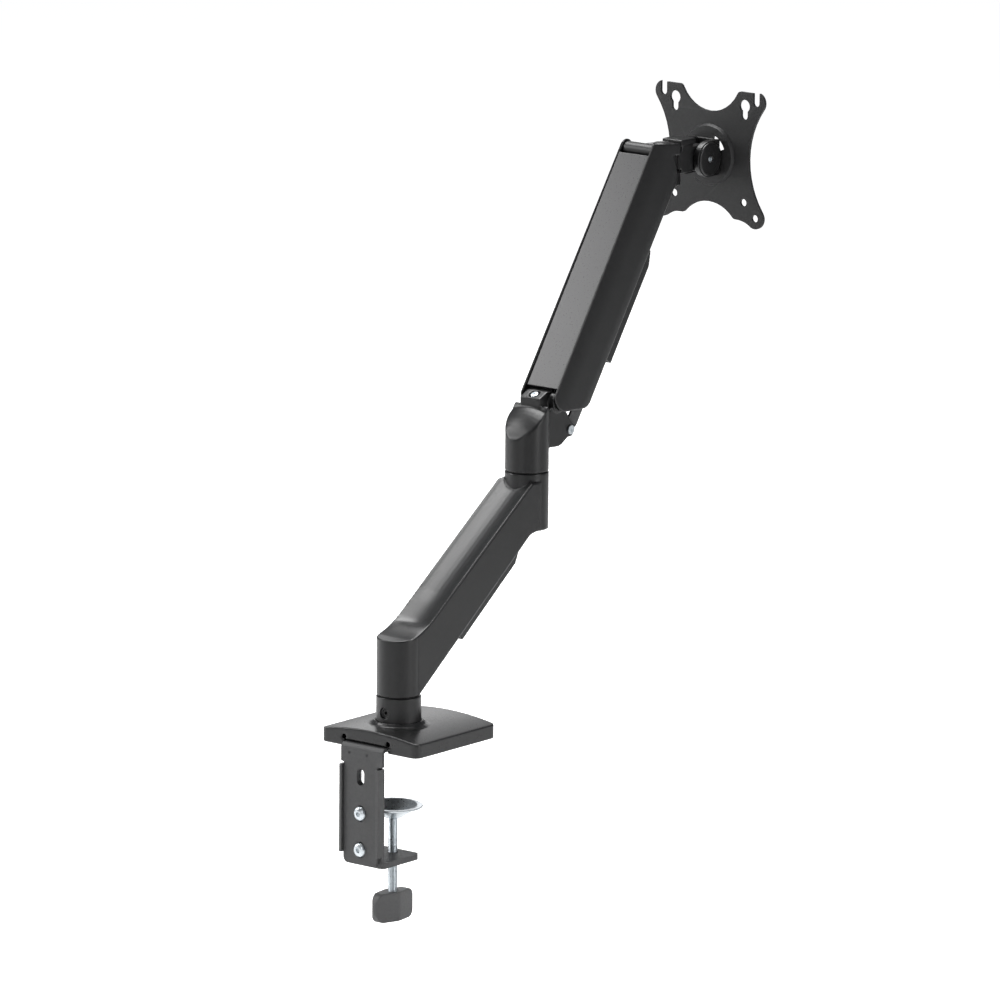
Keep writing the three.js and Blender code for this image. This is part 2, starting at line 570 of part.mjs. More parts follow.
const tensionGroup = new THREE.Group();
tensionGroup.position.set(0, screw.topY, screw.topZ);
tensionGroup.rotation.x = lean;
assembly.add(tensionGroup);
addPiece(tensionGroup, 'tension_screw', tensionScrew(), zinc());
addPiece(tensionGroup, 'tension_trunnion', trunnion(), zinc()).position.z = -screw.anchor;

// A short shoulder screw through one cheek into one side bar of the link.
function linkScrew() {
  const head = rodX(0, 0, 4, knuckle.cheek + 0.1, knuckle.cheek + 1.7, 16);
  const body = join(head, rodX(0, 0, link.pin, link.inner, knuckle.cheek + 0.5, 14));
  return cut(body, rodX(0, 0, 1.6, knuckle.cheek + 0.7, knuckle.cheek + 3, 6));
}

const linkGroup = new THREE.Group();
linkGroup.position.set(0, linkY, linkZ);
assembly.add(linkGroup);
addPiece(linkGroup, 'link_screw_right', linkScrew(), zinc());
addPiece(linkGroup, 'link_screw_left', linkScrew(), zinc()).rotation.z = Math.PI;

// ---------------------------------------------------------------- upper arm
// Local Y runs from the elbow pivot to the tip pivot and local Z is square to it.
const armGroup = new THREE.Group();
armGroup.position.set(0, lift.y, lift.z);
armGroup.rotation.x = rad(lift.angle);
assembly.add(armGroup);

function armSideShape(hooded) {
  const L = lift.length;
  const shape = new THREE.Shape();
  shape.absarc(2, arm.top - 6, 6, Math.PI / 2, Math.PI * 0.86, false);
  shape.lineTo(-6.2, 2);
  shape.lineTo(-6, -4);
  shape.quadraticCurveTo(-5, -8, -2, -12);
  shape.lineTo(8, -28.5);
  shape.quadraticCurveTo(11, arm.under + 1, 17, arm.under);
  if (hooded) {
    shape.lineTo(L - 16, arm.under);
    shape.quadraticCurveTo(L - 8, arm.under, L - 4, arm.under + 4);
    shape.lineTo(L + 6.9, -17.4);
    shape.lineTo(L + 10.8, -25.1);
    shape.lineTo(L + 19.1, -19.5);
    shape.lineTo(L + 3.5, arm.hoodTop - 2);
    shape.quadraticCurveTo(L + 2.5, arm.hoodTop, L, arm.hoodTop);
  } else {
    shape.lineTo(L - 24, arm.under);
    shape.quadraticCurveTo(L - 19, arm.under, L - 16, arm.under + 4.5);
    shape.lineTo(L + 1, -13);
    shape.quadraticCurveTo(L + arm.ear, -7, L + arm.ear, 0);
    shape.absarc(L, 0, arm.ear, 0, Math.PI / 2, false);
  }
  shape.closePath();
  return shape;
}

// One casting of two side walls tied by a web under the top cover.
function upperArm() {
  const farWall = alongX(armSideShape(false), -arm.outer, -arm.inner, 6);
  const nearWall = alongX(armSideShape(true), arm.inner, arm.outer, 6);
  const webHalf = arm.inner + 0.5;
  const web = box(-webHalf, webHalf, 14, lift.length - 15, arm.webTop - arm.webThick, arm.webTop);
  const holes = [rodX(0, 0, lift.pin + 1.2, -30, 30, 16), rodX(lift.length, 0, lift.pin + 1.2, -30, 30, 16),
    rodX(spring.s, spring.t, spring.pin + 1.2, -arm.inner - 1.5, arm.inner + 1.5, 14)];
  return cut(join(farWall, nearWall, web), ...holes);
}

function armTopCover() {
  const w = arm.inner - 0.4;
  return box(-w, w, topCover.start, topCover.end, topCover.top - topCover.thick, topCover.top);
}

function pivotBush(side) {
  const inner = arm.inner + 0.1;
  const outer = arm.outer - 0.4;
  const [x0, x1] = side > 0 ? [inner, outer] : [-outer, -inner];
  return cut(rodX(0, 0, lift.pin + 1, x0, x1, 16), rodX(0, 0, lift.pin + 0.15, x0 - 1, x1 + 1, 16));
}

const pivotPin = (half) => rodX(0, 0, lift.pin, -half, half, 16);

addPiece(armGroup, 'upper_arm', upperArm(), blackPaint());
addPiece(armGroup, 'arm_top_cover', armTopCover(), blackPlastic());
[['lift', 0], ['tip', lift.length]].forEach(([name, s]) => {
  addPiece(armGroup, `${name}_pin`, pivotPin(arm.outer - 0.5), blackSteel()).position.y = s;
  addPiece(armGroup, `${name}_bush_left`, pivotBush(-1), nylon()).position.y = s;
  addPiece(armGroup, `${name}_bush_right`, pivotBush(1), nylon()).position.y = s;
});

// ---------------------------------------------------------------- parallel link
const linkArmGroup = new THREE.Group();
linkArmGroup.position.set(0, linkY, linkZ);
linkArmGroup.rotation.x = rad(lift.angle);
assembly.add(linkArmGroup);

// Two side bars joined by a tie at each end, so that the gas spring lies between them.
function parallelLink() {
  const L = lift.length;
  const shape = new THREE.Shape();
  shape.absarc(0, 0, link.end, Math.PI / 2, Math.PI * 1.5, false);
  shape.lineTo(8, -link.down);
  shape.lineTo(L - 8, -link.down);
  shape.absarc(L, 0, link.end, -Math.PI / 2, Math.PI / 2, false);
  shape.lineTo(L - 12, link.up);
  shape.lineTo(12, link.up);
  shape.closePath();
  const bar = alongX(shape, -link.outer, link.outer, 8);
  const trough = box(-link.inner, link.inner, -10, L + 10, link.tie - link.down, 12);
  const windows = [[-12, 22], [42, L - 34], [L - 20, L + 12]].map(
    ([s0, s1]) => box(-link.inner, link.inner, s0, s1, -12, 12));
  const holes = [0, L].map((s) => rodX(s, 0, link.pin + 0.2, -20, 20, 14));
  return cut(bar, trough, ...windows, ...holes);
}

addPiece(linkArmGroup, 'parallel_link', parallelLink(), steelPaint());
addPiece(linkArmGroup, 'upper_cable_cover', cableTrough(upperCover.half, -link.down - fit, upperCover.deep,
  upperCover.long, upperCover.wall, upperCover.end).translate([0, upperCover.start, 0]), blackPlastic());

// ---------------------------------------------------------------- gas spring
const along = [Math.cos(rad(lift.angle)), Math.sin(rad(lift.angle))];
const springY = lift.y + spring.s * along[0] - spring.t * along[1];
const springZ = lift.z + spring.s * along[1] + spring.t * along[0];
const springLong = Math.hypot(springY - anchorY, springZ - anchorZ);
const springGroup = new THREE.Group();
springGroup.position.set(0, springY, springZ);
springGroup.rotation.x = Math.atan2(springZ - anchorZ, springY - anchorY) + Math.PI;
assembly.add(springGroup);

// Local Y points from the upper eye down to the trunnion.
// The rod stands half way into the bore, with room below it for the whole stroke.
const boreStart = spring.tubeLong * 0.246;
const rodStart = spring.tubeLong * 0.508;

function gasTube() {
  const tube = rodY(0, 0, spring.tube, 13, spring.tubeLong, 20);
  const neck = rodY(0, 0, 5, 6, 14, 14);
  const eye = rodX(0, 0, 7, -5, 5, 16);
  return cut(join(eye, neck, tube), rodX(0, 0, spring.pin + 0.2, -10, 10, 14),
    rodY(0, 0, spring.rod + fit, boreStart, spring.tubeLong + 1, 14));
}

function gasRod() {
  const stem = rodY(0, 0, spring.rod, rodStart, springLong - 10.5, 14);
  const bridge = box(-8, 8, springLong - 12, springLong - 9, -5, 5);
  const ears = [[-8, -5.1], [5.1, 8]].map(([x0, x1]) => join(
    rodX(springLong, 0, spring.eye, x0, x1, 20),
    box(x0, x1, springLong - 12, springLong - 4, -5, 5)));
  return cut(join(stem, bridge, ...ears), rodX(springLong, 0, spring.hole, -10, 10, 20));
}

addPiece(springGroup, 'gas_tube', gasTube(), finish(0x1d1d1f, 0.35, 0.4));
addPiece(springGroup, 'gas_rod', gasRod(), zinc());
addPiece(springGroup, 'gas_pin', rodX(0, 0, spring.pin, -arm.inner - 1.2, arm.inner + 1.2, 14), zinc());

// ---------------------------------------------------------------- arm tip
const link2Y = tipY + link.dy;
const link2Z = tipZ + link.dz;

// Level block: an eye on the tip pivot, a slot for the link, and two lugs for the pan pin.
function tipBlock() {
  const eye = rodX(tipY, tipZ, tip.eye, -arm.inner + 0.4, arm.inner - 0.4, 20);
  const body = alongX(shapeOf([[tipY + 1, tip.top - 1], [tipY + 8, tip.top], [tip.panY, tip.top],
    [tip.panY, tip.bottom], [tipY + 8, tip.bottom], [tip.back, tip.bottom + 6], [tip.back - 2, tipZ - 6]]),
  -tip.half, tip.half);
  const lugs = [rodZ(0, tip.panY, tip.upperLug, tip.upperLow, tip.top, 28),
    rodZ(0, tip.panY, tip.lowerLug, tip.bottom, tip.lowerTop, 28)];
  const room = box(-30, 30, tip.panY - yoke.barrel - 1, tip.panY + 40, tip.lowerTop, tip.upperLow);
  const slots = [-1, 1].map((side) => {
    const [x0, x1] = [link.inner - fit, link.outer + fit].map((x) => x * side).sort((a, b) => a - b);
    return box(x0, x1, tip.back - 20, link2Y + link.end + 0.6, tip.bottom - 2, link2Z + link.down + 0.4);
  });
  const webRoom = box(-link.inner, link.inner, tip.back - 10, tip.back + 1.4, tip.bottom - 2, tip.bottom + 9);
  return cut(join(eye, body, ...lugs), room, ...slots, webRoom,
    rodX(tipY, tipZ, lift.pin + fit, -20, 20, 16),
    rodX(link2Y, link2Z, link.pin + 0.2, -20, 20, 14),
    rodZ(0, tip.panY, tip.pin + 0.2, tip.bottom - 1, tip.top + 1, 16));
}

function panPin() {
  return join(rodZ(0, 0, tip.pin, tip.bottom + 0.5, tip.top + 0.2, 16),
    turned([[0, tip.top + 0.1], [7.5, tip.top + 0.1], [7.5, tip.top + 0.9], [6, tip.top + 1.8],
      [0, tip.top + 2]], 16));
}

addPiece(assembly, 'tip_block', tipBlock(), blackPaint());
const tipLinkGroup = new THREE.Group();
tipLinkGroup.position.set(0, link2Y, link2Z);
assembly.add(tipLinkGroup);
const tipLinkPin = rodX(0, 0, link.pin, -tip.half - 1.6, tip.half + 1.6, 14);
addPiece(tipLinkGroup, 'tip_link_pin', tipLinkPin, zinc());
const panGroup = new THREE.Group();
panGroup.position.set(0, tip.panY, 0);
assembly.add(panGroup);
addPiece(panGroup, 'pan_pin', panPin(), blackSteel());
const panWasher = ring(tip.pin + fit, 12, tip.lowerTop + 0.1, tip.lowerTop + 0.7, 20);
addPiece(panGroup, 'pan_washer', panWasher, nylon());

// ---------------------------------------------------------------- head
// The yoke turns on the pan pin; its neck ends in a tongue inside the tilt housing.
function headYoke() {
  const low = tip.lowerTop + 0.9;
  const high = tip.upperLow - fit;
  const barrel = rodZ(0, tip.panY, yoke.barrel, low, high, 24);
  const bridge = box(-yoke.half, yoke.half, tip.panY + 4, tip.panY + 26, low, high);
  const neck = box(-yoke.half, yoke.half, tip.panY + 16, yoke.neckEnd, yoke.low, yoke.top);
  const lowerLugRoom = rodZ(0, tip.panY, tip.lowerLug + 0.6, low - 40, low, 32);
  const upperLugRoom = rodZ(0, tip.panY, tip.upperLug + 0.6, high, high + 40, 32);
  const cap = box(-yoke.half - 1, yoke.half + 1, yoke.capFrom, yoke.capTo, yoke.top - 1, yoke.cap);
  const tongue = join(rodX(tilt.y, tilt.z, yoke.tongueRadius, -yoke.tongue, yoke.tongue, 22),
    box(-yoke.tongue, yoke.tongue, yoke.neckEnd - 1, tilt.y, tilt.z - 9, tilt.z + yoke.tongueRadius));
  return cut(join(barrel, bridge, cut(neck, lowerLugRoom, upperLugRoom), cap, tongue),
    rodZ(0, tip.panY, tip.pin + fit, low - 5, high + 15, 16),
    rodX(tilt.y, tilt.z, tilt.bolt + 0.2, -20, 20, 16));
}

// D-shaped casting bolted through the tongue; its flat back carries the plate.
function tiltHousing() {
  const r = tilt.radius;
  const shape = new THREE.Shape();
  shape.moveTo(tilt.back, tilt.z - r);
  shape.lineTo(tilt.back, tilt.z + r);
  shape.absarc(tilt.y, tilt.z, r, Math.PI / 2, Math.PI * 1.5, false);
  shape.closePath();
  const slotHalf = yoke.tongue + 0.4;
  const slotBack = tilt.y + yoke.tongueRadius + 0.5;
  const slot = box(-slotHalf, slotHalf, tilt.y - 30, slotBack, tilt.z - 30, tilt.z + 30);
  return cut(alongX(shape, -tilt.half, tilt.half, 14), slot,
    rodX(tilt.y, tilt.z, tilt.bolt + 0.2, -20, 20, 16),
    rodY(0, tilt.z, tilt.bolt + 0.2, tilt.back - 5, tilt.back + 1, 16));
}

const tiltGroup = new THREE.Group();
tiltGroup.position.set(0, tilt.y, tilt.z);
assembly.add(tiltGroup);
const capThick = 1.6;
addPiece(assembly, 'head_yoke', headYoke(), blackPaint());
addPiece(assembly, 'tilt_housing', tiltHousing(), blackPaint());
addPiece(tiltGroup, 'tilt_cap', cut(rodX(0, 0, tilt.radius - 1, tilt.half + 0.1, tilt.half + capThick, 24),
  rodX(0, 0, 2.9, tilt.half - 1, tilt.half + 4, 14)), blackPlastic());
const tiltBolt = join(rodX(0, 0, tilt.bolt, -tilt.half - 5, tilt.half - 0.1, 16),
  rodX(0, 0, 2.6, tilt.half - 0.5, tilt.half + capThick - 0.4, 14));
addPiece(tiltGroup, 'tilt_bolt', cut(tiltBolt, rodX(0, 0, 1.4, tilt.half, tilt.half + 4, 6)), zinc());
addPiece(tiltGroup, 'tilt_nut', cut(rodX(0, 0, 7, -tilt.half - 4.6, -tilt.half - 0.1, 6),
  rodX(0, 0, tilt.bolt + 0.15, -40, 0, 16)), zinc());

// ---------------------------------------------------------------- screen plate
const plateGroup = new THREE.Group();
plateGroup.position.set(0, 0, tilt.z);
assembly.add(plateGroup);
const plateFront = vesa.back - vesa.thick;
const embossFront = plateFront - vesa.embossStep;

// X-shaped outline: round lobes on the hole pattern, joined by hollow arcs.
function plateOutline() {
  const { large: c, lobe: r, half } = vesa;
  const sideIn = 42.8;
  const sideRadius = (c ** 2 + (sideIn - c) ** 2 - r ** 2) / (2 * (r + c - sideIn));
  const sideX = sideIn + sideRadius;
  const lean2 = Math.atan2(c, sideX - c);
  const topRadius = 33.3;
  const topZ = 38 + topRadius;
  const round = 4;
  const roundX = Math.sqrt((topRadius + round) ** 2 - (topZ - half + round) ** 2);
  const roundAngle = Math.atan2(topZ - half + round, roundX);
  const lowRadius = 35;
  const lowZ = -40.5 - lowRadius;
  const stepZ = -53;
  const stepX = Math.sqrt((lowRadius + round) ** 2 - (lowZ - stepZ - round) ** 2);
  const stepAngle = Math.atan2(-(lowZ - stepZ - round), stepX);
  const gap = vesa.hole;
  const slotTop = c + Math.sqrt(r ** 2 - gap ** 2);
  const slotAngle = Math.asin(gap / r);
  const shape = new THREE.Shape();
  // right side, bottom to top
  shape.absarc(c, -c, r, -Math.PI * 0.72, lean2, false);
  shape.absarc(sideX, 0, sideRadius, Math.PI + lean2, Math.PI - lean2, true);
  shape.absarc(c, c, r, -lean2, Math.PI / 2 - slotAngle, false);
  shape.lineTo(c + gap, slotTop);
  shape.absarc(c, c, gap, 0, Math.PI, true);
  shape.lineTo(c - gap, half);
  // top hollow, right to left
  shape.absarc(roundX, half - round, round, Math.PI / 2, Math.PI - roundAngle, false);
  shape.absarc(0, topZ, topRadius, -roundAngle, Math.PI + roundAngle, true);
  shape.absarc(-roundX, half - round, round, roundAngle, Math.PI / 2, false);
  shape.lineTo(-c + gap, half);
  shape.absarc(-c, c, gap, 0, Math.PI, true);
  shape.lineTo(-c - gap, slotTop);
  // left side, top to bottom
  shape.absarc(-c, c, r, Math.PI / 2 + slotAngle, Math.PI + lean2, false);
  shape.absarc(-sideX, 0, sideRadius, lean2, -lean2, true);
  shape.absarc(-c, -c, r, Math.PI - lean2, Math.PI * 1.72, false);
  // bottom, left to right
  shape.quadraticCurveTo(-38, stepZ, -stepX - 3, stepZ);
  shape.absarc(-stepX, stepZ + round, round, -Math.PI / 2, -stepAngle, false);
  shape.absarc(0, lowZ, lowRadius, Math.PI - stepAngle, stepAngle, true);
  shape.absarc(stepX, stepZ + round, round, Math.PI + stepAngle, Math.PI * 1.5, false);
  shape.quadraticCurveTo(38, stepZ, c + r * Math.cos(-Math.PI * 0.72), -c + r * Math.sin(-Math.PI * 0.72));
  shape.closePath();
  return shape;
}

function screenPlate() {
  const sheet = alongY(plateOutline(), plateFront, vesa.back, 6);
  const e = vesa.emboss;
  const rim = vesa.embossStep;
  const dish = turned([[0, 0], [e - 1.6, 0], [e, rim], [e, rim + 0.5], [0, rim + 0.5]], 32)
    .rotate([-90, 0, 0]).translate([0, embossFront, 0]);
  const recess = rodY(0, 0, e - 3.4, embossFront + vesa.thick, vesa.back + 1, 32);
  const through = [embossFront - 1, vesa.back + 1];
  const holes = [-1, 1].flatMap((side) => [
    rodY(side * vesa.large, -vesa.large, vesa.hole, ...through, 14),
    rodY(side * vesa.small, -vesa.small, vesa.hole, ...through, 14),
    rodY(side * vesa.small, vesa.small, vesa.hole, ...through, 14),
    rodY(side * vesa.small, vesa.small + vesa.keyUp, vesa.keyRadius, ...through, 16),
    box(side * vesa.small - vesa.hole, side * vesa.small + vesa.hole, ...through,
      vesa.small, vesa.small + vesa.keyUp),
  ]);
  const arcs = [45, 225].map((turn) => {
    const shape = new THREE.Shape();
    const middle = rad(turn);
    shape.absarc(0, 0, vesa.slotOut, middle - vesa.slotTurn, middle + vesa.slotTurn, false);
    shape.absarc(0, 0, vesa.slotIn, middle + vesa.slotTurn, middle - vesa.slotTurn, true);
    shape.closePath();
    return alongY(shape, ...through, 5);
  });
  return cut(sheet.add(dish), recess, ...holes, ...arcs, rodY(0, 0, tilt.bolt + fit, ...through, 16));
}

function plateBolt() {
  const seat = embossFront + vesa.thick + 0.1;
  const shank = rodY(0, 0, tilt.bolt, tilt.back - 2, seat + 0.5, 16);
  const body = join(rodY(0, 0, 9, seat, seat + 1.7, 20), shank);
  return cut(body, rodY(0, 0, 2.4, seat + 0.5, seat + 3, 6));
}

addPiece(plateGroup, 'screen_plate', screenPlate(), steelPaint());
addPiece(plateGroup, 'plate_bolt', plateBolt(), zinc());
addPiece(plateGroup, 'plate_washer', cut(rodY(0, 0, 11, tilt.back + 0.2, embossFront - 0.2, 20),
  rodY(0, 0, tilt.bolt + 0.2, tilt.back - 1, embossFront + 1, 16)), nylon());

export default assembly;
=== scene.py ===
import json
import math

import bmesh
import bpy
import numpy as np
from mathutils import Matrix, Vector


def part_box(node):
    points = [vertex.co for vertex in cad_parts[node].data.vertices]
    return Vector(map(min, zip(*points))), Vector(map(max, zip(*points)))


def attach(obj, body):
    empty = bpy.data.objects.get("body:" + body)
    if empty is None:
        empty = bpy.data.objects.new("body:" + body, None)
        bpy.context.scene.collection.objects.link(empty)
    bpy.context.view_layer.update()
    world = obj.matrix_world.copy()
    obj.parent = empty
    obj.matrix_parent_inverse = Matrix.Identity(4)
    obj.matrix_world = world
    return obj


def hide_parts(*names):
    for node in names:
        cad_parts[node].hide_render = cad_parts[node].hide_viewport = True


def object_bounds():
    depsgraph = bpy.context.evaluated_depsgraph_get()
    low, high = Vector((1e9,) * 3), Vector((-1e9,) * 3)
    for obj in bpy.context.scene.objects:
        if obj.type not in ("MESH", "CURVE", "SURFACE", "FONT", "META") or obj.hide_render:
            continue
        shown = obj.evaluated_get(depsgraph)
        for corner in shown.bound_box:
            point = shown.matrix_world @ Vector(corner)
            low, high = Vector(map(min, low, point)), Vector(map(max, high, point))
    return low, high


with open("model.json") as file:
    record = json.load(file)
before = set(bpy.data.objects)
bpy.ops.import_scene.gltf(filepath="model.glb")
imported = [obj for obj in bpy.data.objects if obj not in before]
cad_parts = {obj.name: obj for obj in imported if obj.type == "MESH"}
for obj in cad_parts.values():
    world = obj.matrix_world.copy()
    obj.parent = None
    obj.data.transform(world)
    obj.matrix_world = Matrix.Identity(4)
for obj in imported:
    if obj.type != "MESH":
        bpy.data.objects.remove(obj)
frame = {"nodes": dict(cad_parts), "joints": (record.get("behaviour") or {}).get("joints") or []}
cad_box = [list(corner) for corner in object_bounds()]

# ---------------------------------------------------------------------------------------------
# Camera: a long portrait lens some seven metres away, a little above the arm and off to its
# right, looking over the clamp side.
scene = bpy.context.scene
azimuth, elevation, roll = math.radians(38.97), math.radians(11.99), math.radians(0.5)
distance, aside, above = 7.488, 0.0845, 0.2017
backward = Vector((math.sin(azimuth) * math.cos(elevation), -math.cos(azimuth) * math.cos(elevation),
                   math.sin(elevation)))
level = Vector((math.cos(azimuth), math.sin(azimuth), 0))
upright = backward.cross(level)
right = math.cos(roll) * level + math.sin(roll) * upright
up = -math.sin(roll) * level + math.cos(roll) * upright
lens = bpy.data.cameras.new("camera")
lens.lens = 324
lens.sensor_width = 36
lens.clip_end = 60
camera = bpy.data.objects.new("camera", lens)
camera.matrix_world = Matrix.Translation(backward * distance + right * aside + up * above) @ Matrix((
    (right.x, up.x, backward.x, 0),
    (right.y, up.y, backward.y, 0),
    (right.z, up.z, backward.z, 0),
    (0, 0, 0, 1)))
scene.collection.objects.link(camera)
scene.camera = camera

# ---------------------------------------------------------------------------------------------
# Studio: a white light table low enough for the clamp screw to wind all the way down, a wide
# softbox overhead, a tall one behind the plate on the left and a weak one in front. The room is
# plain white to the lens and dim grey to reflections, so the black finishes keep their contrast.
mm = 0.001
scene.view_settings.view_transform = "Standard"
screw_room = 24.5 * mm
bpy.ops.mesh.primitive_plane_add(size=60, location=(0, 0, cad_box[0][2] - screw_room))
table = bpy.context.object
table.name = "light_table"
paper = bpy.data.materials.new("white_paper")
paper.use_nodes = True
tree = paper.node_tree
sheet = tree.nodes["Principled BSDF"]
sheet.inputs["Base Color"].default_value = (0.9, 0.9, 0.9, 1)
sheet.inputs["Roughness"].default_value = 0.9
sheet.inputs["Emission Color"].default_value = (1, 1, 1, 1)
path = tree.nodes.new("ShaderNodeLightPath")
glow = tree.nodes.new("ShaderNodeMath")
glow.operation = "MULTIPLY"
glow.inputs[1].default_value = 0.82
tree.links.new(path.outputs["Is Camera Ray"], glow.inputs[0])
tree.links.new(glow.outputs["Value"], sheet.inputs["Emission Strength"])
table.data.materials.append(paper)

world = bpy.data.worlds.new("studio")
world.use_nodes = True
scene.world = world
tree = world.node_tree
tree.nodes.clear()
seen = tree.nodes.new("ShaderNodeBackground")
seen.inputs["Strength"].default_value = 1.1
room = tree.nodes.new("ShaderNodeBackground")
room.inputs["Color"].default_value = (0.93, 0.96, 1.0, 1)
room.inputs["Strength"].default_value = 0.16
path = tree.nodes.new("ShaderNodeLightPath")
pick = tree.nodes.new("ShaderNodeMixShader")
out = tree.nodes.new("ShaderNodeOutputWorld")
tree.links.new(path.outputs["Is Camera Ray"], pick.inputs["Fac"])
tree.links.new(room.outputs["Background"], pick.inputs[1])
tree.links.new(seen.outputs["Background"], pick.inputs[2])
tree.links.new(pick.outputs["Shader"], out.inputs["Surface"])


def softbox(name, place, target, wide, high, watts):
    data = bpy.data.lights.new(name, "AREA")
    data.shape = "RECTANGLE"
    data.size = wide
    data.size_y = high
    data.energy = watts
    lamp = bpy.data.objects.new(name, data)
    lamp.location = place
    lamp.rotation_euler = (Vector(target) - Vector(place)).to_track_quat("-Z", "Y").to_euler()
    lamp.visible_camera = False
    scene.collection.objects.link(lamp)


softbox("overhead_softbox", (-0.6, 0.5, 2.3), (0, 0.15, 0.2), 1.5, 1.5, 72)
softbox("left_softbox", (-2.0, -1.0, 1.2), (0, 0.15, 0.2), 0.8, 2.0, 34)
softbox("right_softbox", (2.5, 0.5, 0.9), (0, 0.15, 0.2), 0.6, 2.0, 20)
softbox("front_softbox", (0.5, -2.9, 0.9), (0, 0.1, 0.1), 0.9, 1.6, 11)
softbox("rear_panel", (-1.7, 2.3, 0.75), (0, 0.15, 0.1), 1.5, 0.8, 7)

# ---------------------------------------------------------------------------------------------
# Base cover: one black ABS moulding that clips over the steel base. Its top is arched across
# the width, with an apron round the collar and a mouth for the steel tongue at the back edge.


def socket(group, name, way, kind):
    return group.interface.new_socket(name=name, in_out=way, socket_type=kind)


def noise(nodes, links, coords, scale, detail):
    texture = nodes.new("ShaderNodeTexNoise")
    texture.inputs["Detail"].default_value = detail
    texture.inputs["Scale"].default_value = scale
    links.new(coords, texture.inputs["Vector"])
    return texture


def map_range(nodes, links, value, low, high):
    ramp = nodes.new("ShaderNodeMapRange")
    ramp.inputs["From Min"].default_value = 0.3
    ramp.inputs["From Max"].default_value = 0.7
    links.new(value, ramp.inputs["Value"])
    for name, source in (("To Min", low), ("To Max", high)):
        links.new(source, ramp.inputs[name])
    return ramp.outputs["Result"]


# Fine skin of a moulded or coated surface: mottled tone, uneven gloss and a pebbled height.
skin = bpy.data.node_groups.new("surface_skin", "ShaderNodeTree")
for socket_name in ("Dark", "Light"):
    socket(skin, socket_name, "INPUT", "NodeSocketColor")
for socket_name in ("Rough Low", "Rough High", "Pebble Size"):
    socket(skin, socket_name, "INPUT", "NodeSocketFloat")
socket(skin, "Color", "OUTPUT", "NodeSocketColor")
socket(skin, "Roughness", "OUTPUT", "NodeSocketFloat")
socket(skin, "Height", "OUTPUT", "NodeSocketFloat")
nodes, links = skin.nodes, skin.links
given = nodes.new("NodeGroupInput")
result = nodes.new("NodeGroupOutput")
place = nodes.new("ShaderNodeTexCoord").outputs["Object"]
cloud = noise(nodes, links, place, 420, 3)
tone = nodes.new("ShaderNodeMix")
tone.data_type = "RGBA"
links.new(cloud.outputs["Fac"], tone.inputs["Factor"])
links.new(given.outputs["Dark"], tone.inputs[6])
links.new(given.outputs["Light"], tone.inputs[7])
links.new(tone.outputs[2], result.inputs["Color"])
smear = noise(nodes, links, place, 700, 3)
gloss = map_range(nodes, links, smear.outputs["Fac"], given.outputs["Rough Low"], given.outputs["Rough High"])
links.new(gloss, result.inputs["Roughness"])
pebble = noise(nodes, links, place, 1000, 2)
links.new(given.outputs["Pebble Size"], pebble.inputs["Scale"])
links.new(pebble.outputs["Fac"], result.inputs["Height"])

# Painted edge highlights: a mask that picks the sharp outside edges and breaks up along them, where a lighter
# colour is painted in as highlight.
painted_edge_highlight_group = bpy.data.node_groups.new("painted_edge_highlights", "ShaderNodeTree")
socket(painted_edge_highlight_group, "Amount", "INPUT", "NodeSocketFloat")
socket(painted_edge_highlight_group, "Mask", "OUTPUT", "NodeSocketFloat")
nodes, links = painted_edge_highlight_group.nodes, painted_edge_highlight_group.links
given = nodes.new("NodeGroupInput")
result = nodes.new("NodeGroupOutput")
shape = nodes.new("ShaderNodeNewGeometry")
edge = nodes.new("ShaderNodeMapRange")
edge.inputs["From Min"].default_value = 0.53
edge.inputs["From Max"].default_value = 0.62
links.new(shape.outputs["Pointiness"], edge.inputs["Value"])
highlight_breakup = noise(nodes, links, nodes.new("ShaderNodeTexCoord").outputs["Object"], 260, 5)
broken = nodes.new("ShaderNodeMath")
broken.operation = "MULTIPLY"
links.new(edge.outputs["Result"], broken.inputs[0])
links.new(highlight_breakup.outputs["Fac"], broken.inputs[1])
scaled = nodes.new("ShaderNodeMath")
scaled.operation = "MULTIPLY"
links.new(broken.outputs["Value"], scaled.inputs[0])
links.new(given.outputs["Amount"], scaled.inputs[1])
links.new(scaled.outputs["Value"], result.inputs["Mask"])


